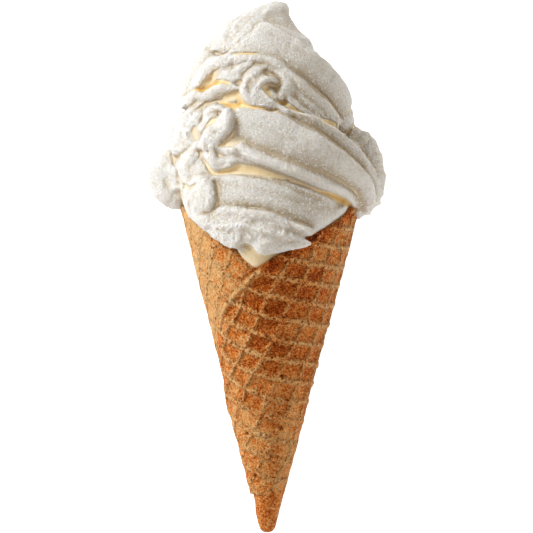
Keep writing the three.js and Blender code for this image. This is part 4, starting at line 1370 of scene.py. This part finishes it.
# %% The wafer's ribs
CRUMB_SCALE, FINE_CRUMB_SCALE = 800.0, 1700.0
wafer, tree, shader = new_material("baked_wafer")
place = node(tree, "ShaderNodeTexCoord").outputs["Object"]
flat = node(tree, "ShaderNodeUVMap", uv_map="grid").outputs[0]
patchy = noise(tree, place, 170.0, 4.0, Roughness=0.6)
crumbs, pits = grain(tree, place, CRUMB_SCALE)
fine, specks = grain(tree, place, FINE_CRUMB_SCALE)
ragged = plus(tree, scaled(tree, crumbs, 3.0, -1.5), scaled(tree, patchy, 2.4, -1.2))


def from_line(tree, number, pitch):
    """Millimetres from the nearest grid line, negative inside the cell, for one direction."""
    centred = maths(tree, "SUBTRACT", maths(tree, "FRACT", plus(tree, number, 0.5)), 0.5)
    return times(tree, maths(tree, "SUBTRACT", maths(tree, "ABSOLUTE", centred), 0.5), pitch)


count = node(tree, "ShaderNodeSeparateXYZ", {0: flat})
across = from_line(tree, count.outputs[0], COLUMN_PITCH)
along = from_line(tree, count.outputs[1], ROW_PITCH)
near = plus(tree, maths(tree, "MAXIMUM", plus(tree, across, -0.4), along), ragged)
rib = slope(tree, near, -1.5, -0.4)
print("grid pitch in the finish:", COLUMN_PITCH, "by", ROW_PITCH, "mm")

# %% [markdown]
# How brown a place is adds up: the toast with painted light and shade that the mesh carries,
# patches, the pressed cell with a random lot of its own, its heart, and crumbs of two sizes
# that stay pale. A ramp turns the sum into baked colours, and the pin holes are darker still,
# partly as painted shade inside them.

# %% The wafer's browning
pressed, toast_and_painted_light = attribute(tree, "pressed"), attribute(tree, "toast_and_painted_light")
cell_number = node(tree, "ShaderNodeVectorMath", {0: flat, 1: (0.5, 0.5, 0.0)}, operation="ADD").outputs[0]
cell_number = node(tree, "ShaderNodeVectorMath", {0: cell_number}, operation="FLOOR").outputs[0]
lot = node(tree, "ShaderNodeTexWhiteNoise", {"Vector": cell_number}, noise_dimensions="2D").outputs["Value"]
cell = times(tree, maths(tree, "SUBTRACT", 1.0, rib), pressed)
heart = times(tree, slope(tree, near, -1.4, -3.2), pressed)
# The toast carries painted light and shade as well as baked colour.
brown = plus(tree, toast_and_painted_light, scaled(tree, patchy, 0.8, -0.40), times(tree, cell, scaled(tree, lot, 0.20, 0.29)))
brown = scaled(tree, heart, 0.08, brown)
brown = plus(tree, brown, scaled(tree, crumbs, -1.1, 0.55), scaled(tree, fine, -2.0, 1.00))
colour = ramp(tree, brown, (0.0, (0.98, 0.59, 0.25)), (0.22, (0.96, 0.385, 0.098)),
              (0.42, (0.79, 0.20, 0.025)), (0.62, (0.52, 0.10, 0.010)),
              (0.82, (0.25, 0.032, 0.003)), (1.0, (0.10, 0.012, 0.002)))
# Pin holes: darker, partly baked colour and partly painted shade inside them.
holes = times(tree, maths(tree, "MAXIMUM", pits, specks), scaled(tree, rib, 0.75, 0.25))
colour = blend(tree, times(tree, holes, 0.85), colour, (0.30, 0.058, 0.006))
tree.links.new(colour, shader.inputs["Base Color"])
shader.inputs["Roughness"].default_value = 0.6
shader.inputs["Specular IOR Level"].default_value = 0.06
rise = scaled(tree, fine, 0.7, scaled(tree, rib, 0.8, crumbs))
roughen(tree, shader, scaled(tree, holes, -0.15, rise), 0.0030)
cone.data.materials.append(wafer)
print("wafer:", len(tree.nodes), "nodes")

# %% [markdown]
# ## Table, light and camera
# A pale table top fills the view. It glows a little, so that it stays white under the light
# and the ice cream casts hardly a shadow on it.

# %% The table top
floor_mesh = bpy.data.meshes.new("table_top")
half = 3.0
corners = [(-half, -half, 0), (half, -half, 0), (half, half, 0), (-half, half, 0)]
floor_mesh.from_pydata(corners, [], [(0, 1, 2, 3)])
floor = bpy.data.objects.new("table_top", floor_mesh)
floor.location.z = -0.2 * MM
scene.collection.objects.link(floor)
pale, tree, shader = new_material("pale_table_top")
shader.inputs["Base Color"].default_value = (0.6, 0.6, 0.6, 1)
shader.inputs["Roughness"].default_value = 0.9
shader.inputs["Emission Color"].default_value = (1, 1, 1, 1)
shader.inputs["Emission Strength"].default_value = 0.9
floor_mesh.materials.append(pale)
print("table top at", round(floor.location.z / MM, 2), "mm")

# %% [markdown]
# The light is that of a bright window at the upper left, so that crests shine and faces to
# the right fall into a half shade. A cool card at the right and another beyond the cone's
# tip brighten the far sides, and warm surroundings tint the hollows that no lamp reaches.

# %% Light
world = bpy.data.worlds.new("studio")
world.use_nodes = True
surroundings = world.node_tree.nodes["Background"]
surroundings.inputs["Color"].default_value = (1.0, 0.78, 0.46, 1)
surroundings.inputs["Strength"].default_value = 0.33
scene.world = world
middle = Vector((0.0, 0.02, 0.04))


def lamp(name, toward, size, power, colour, distance=0.9):
    """A square area light that looks at the middle of the object from a direction."""
    light = bpy.data.lights.new(name, "AREA")
    light.size = size
    light.energy = power
    light.color = colour
    lamp_object = bpy.data.objects.new(name, light)
    direction = Vector(toward).normalized()
    lamp_object.location = middle + direction * distance
    lamp_object.rotation_euler = direction.to_track_quat("Z", "Y").to_euler()
    scene.collection.objects.link(lamp_object)


lamp("window", (-0.72, 0.45, 0.50), 0.26, 10.9, (0.92, 0.96, 1.0))
lamp("right_card", (0.92, 0.10, 0.10), 0.5, 3.8, (0.92, 0.95, 1.0))
lamp("low_card", (-0.20, -0.85, 0.50), 0.5, 3.0, (0.92, 0.94, 0.97))

# %% [markdown]
# The camera looks square onto the shown side, so it tilts as much as the ice cream's axis
# rises from the table. A long lens keeps the shape true.

# %% Camera
camera_data = bpy.data.cameras.new("camera")
camera_data.sensor_fit = "HORIZONTAL"
camera_data.sensor_width = 36.0
camera_data.lens = camera_data.sensor_width * AWAY / (SQUARE * SQUARES)
camera = bpy.data.objects.new("camera", camera_data)
target = Vector(lay([MIDDLE])[0])
look = Vector((0, -np.sin(LIE), np.cos(LIE)))
camera.location = target + look * AWAY * MM
camera.rotation_euler = look.to_track_quat("Z", "Y").to_euler()
scene.collection.objects.link(camera)
scene.camera = camera
scene.view_settings.view_transform = "Standard"
print("lens", round(camera_data.lens, 1), "mm")
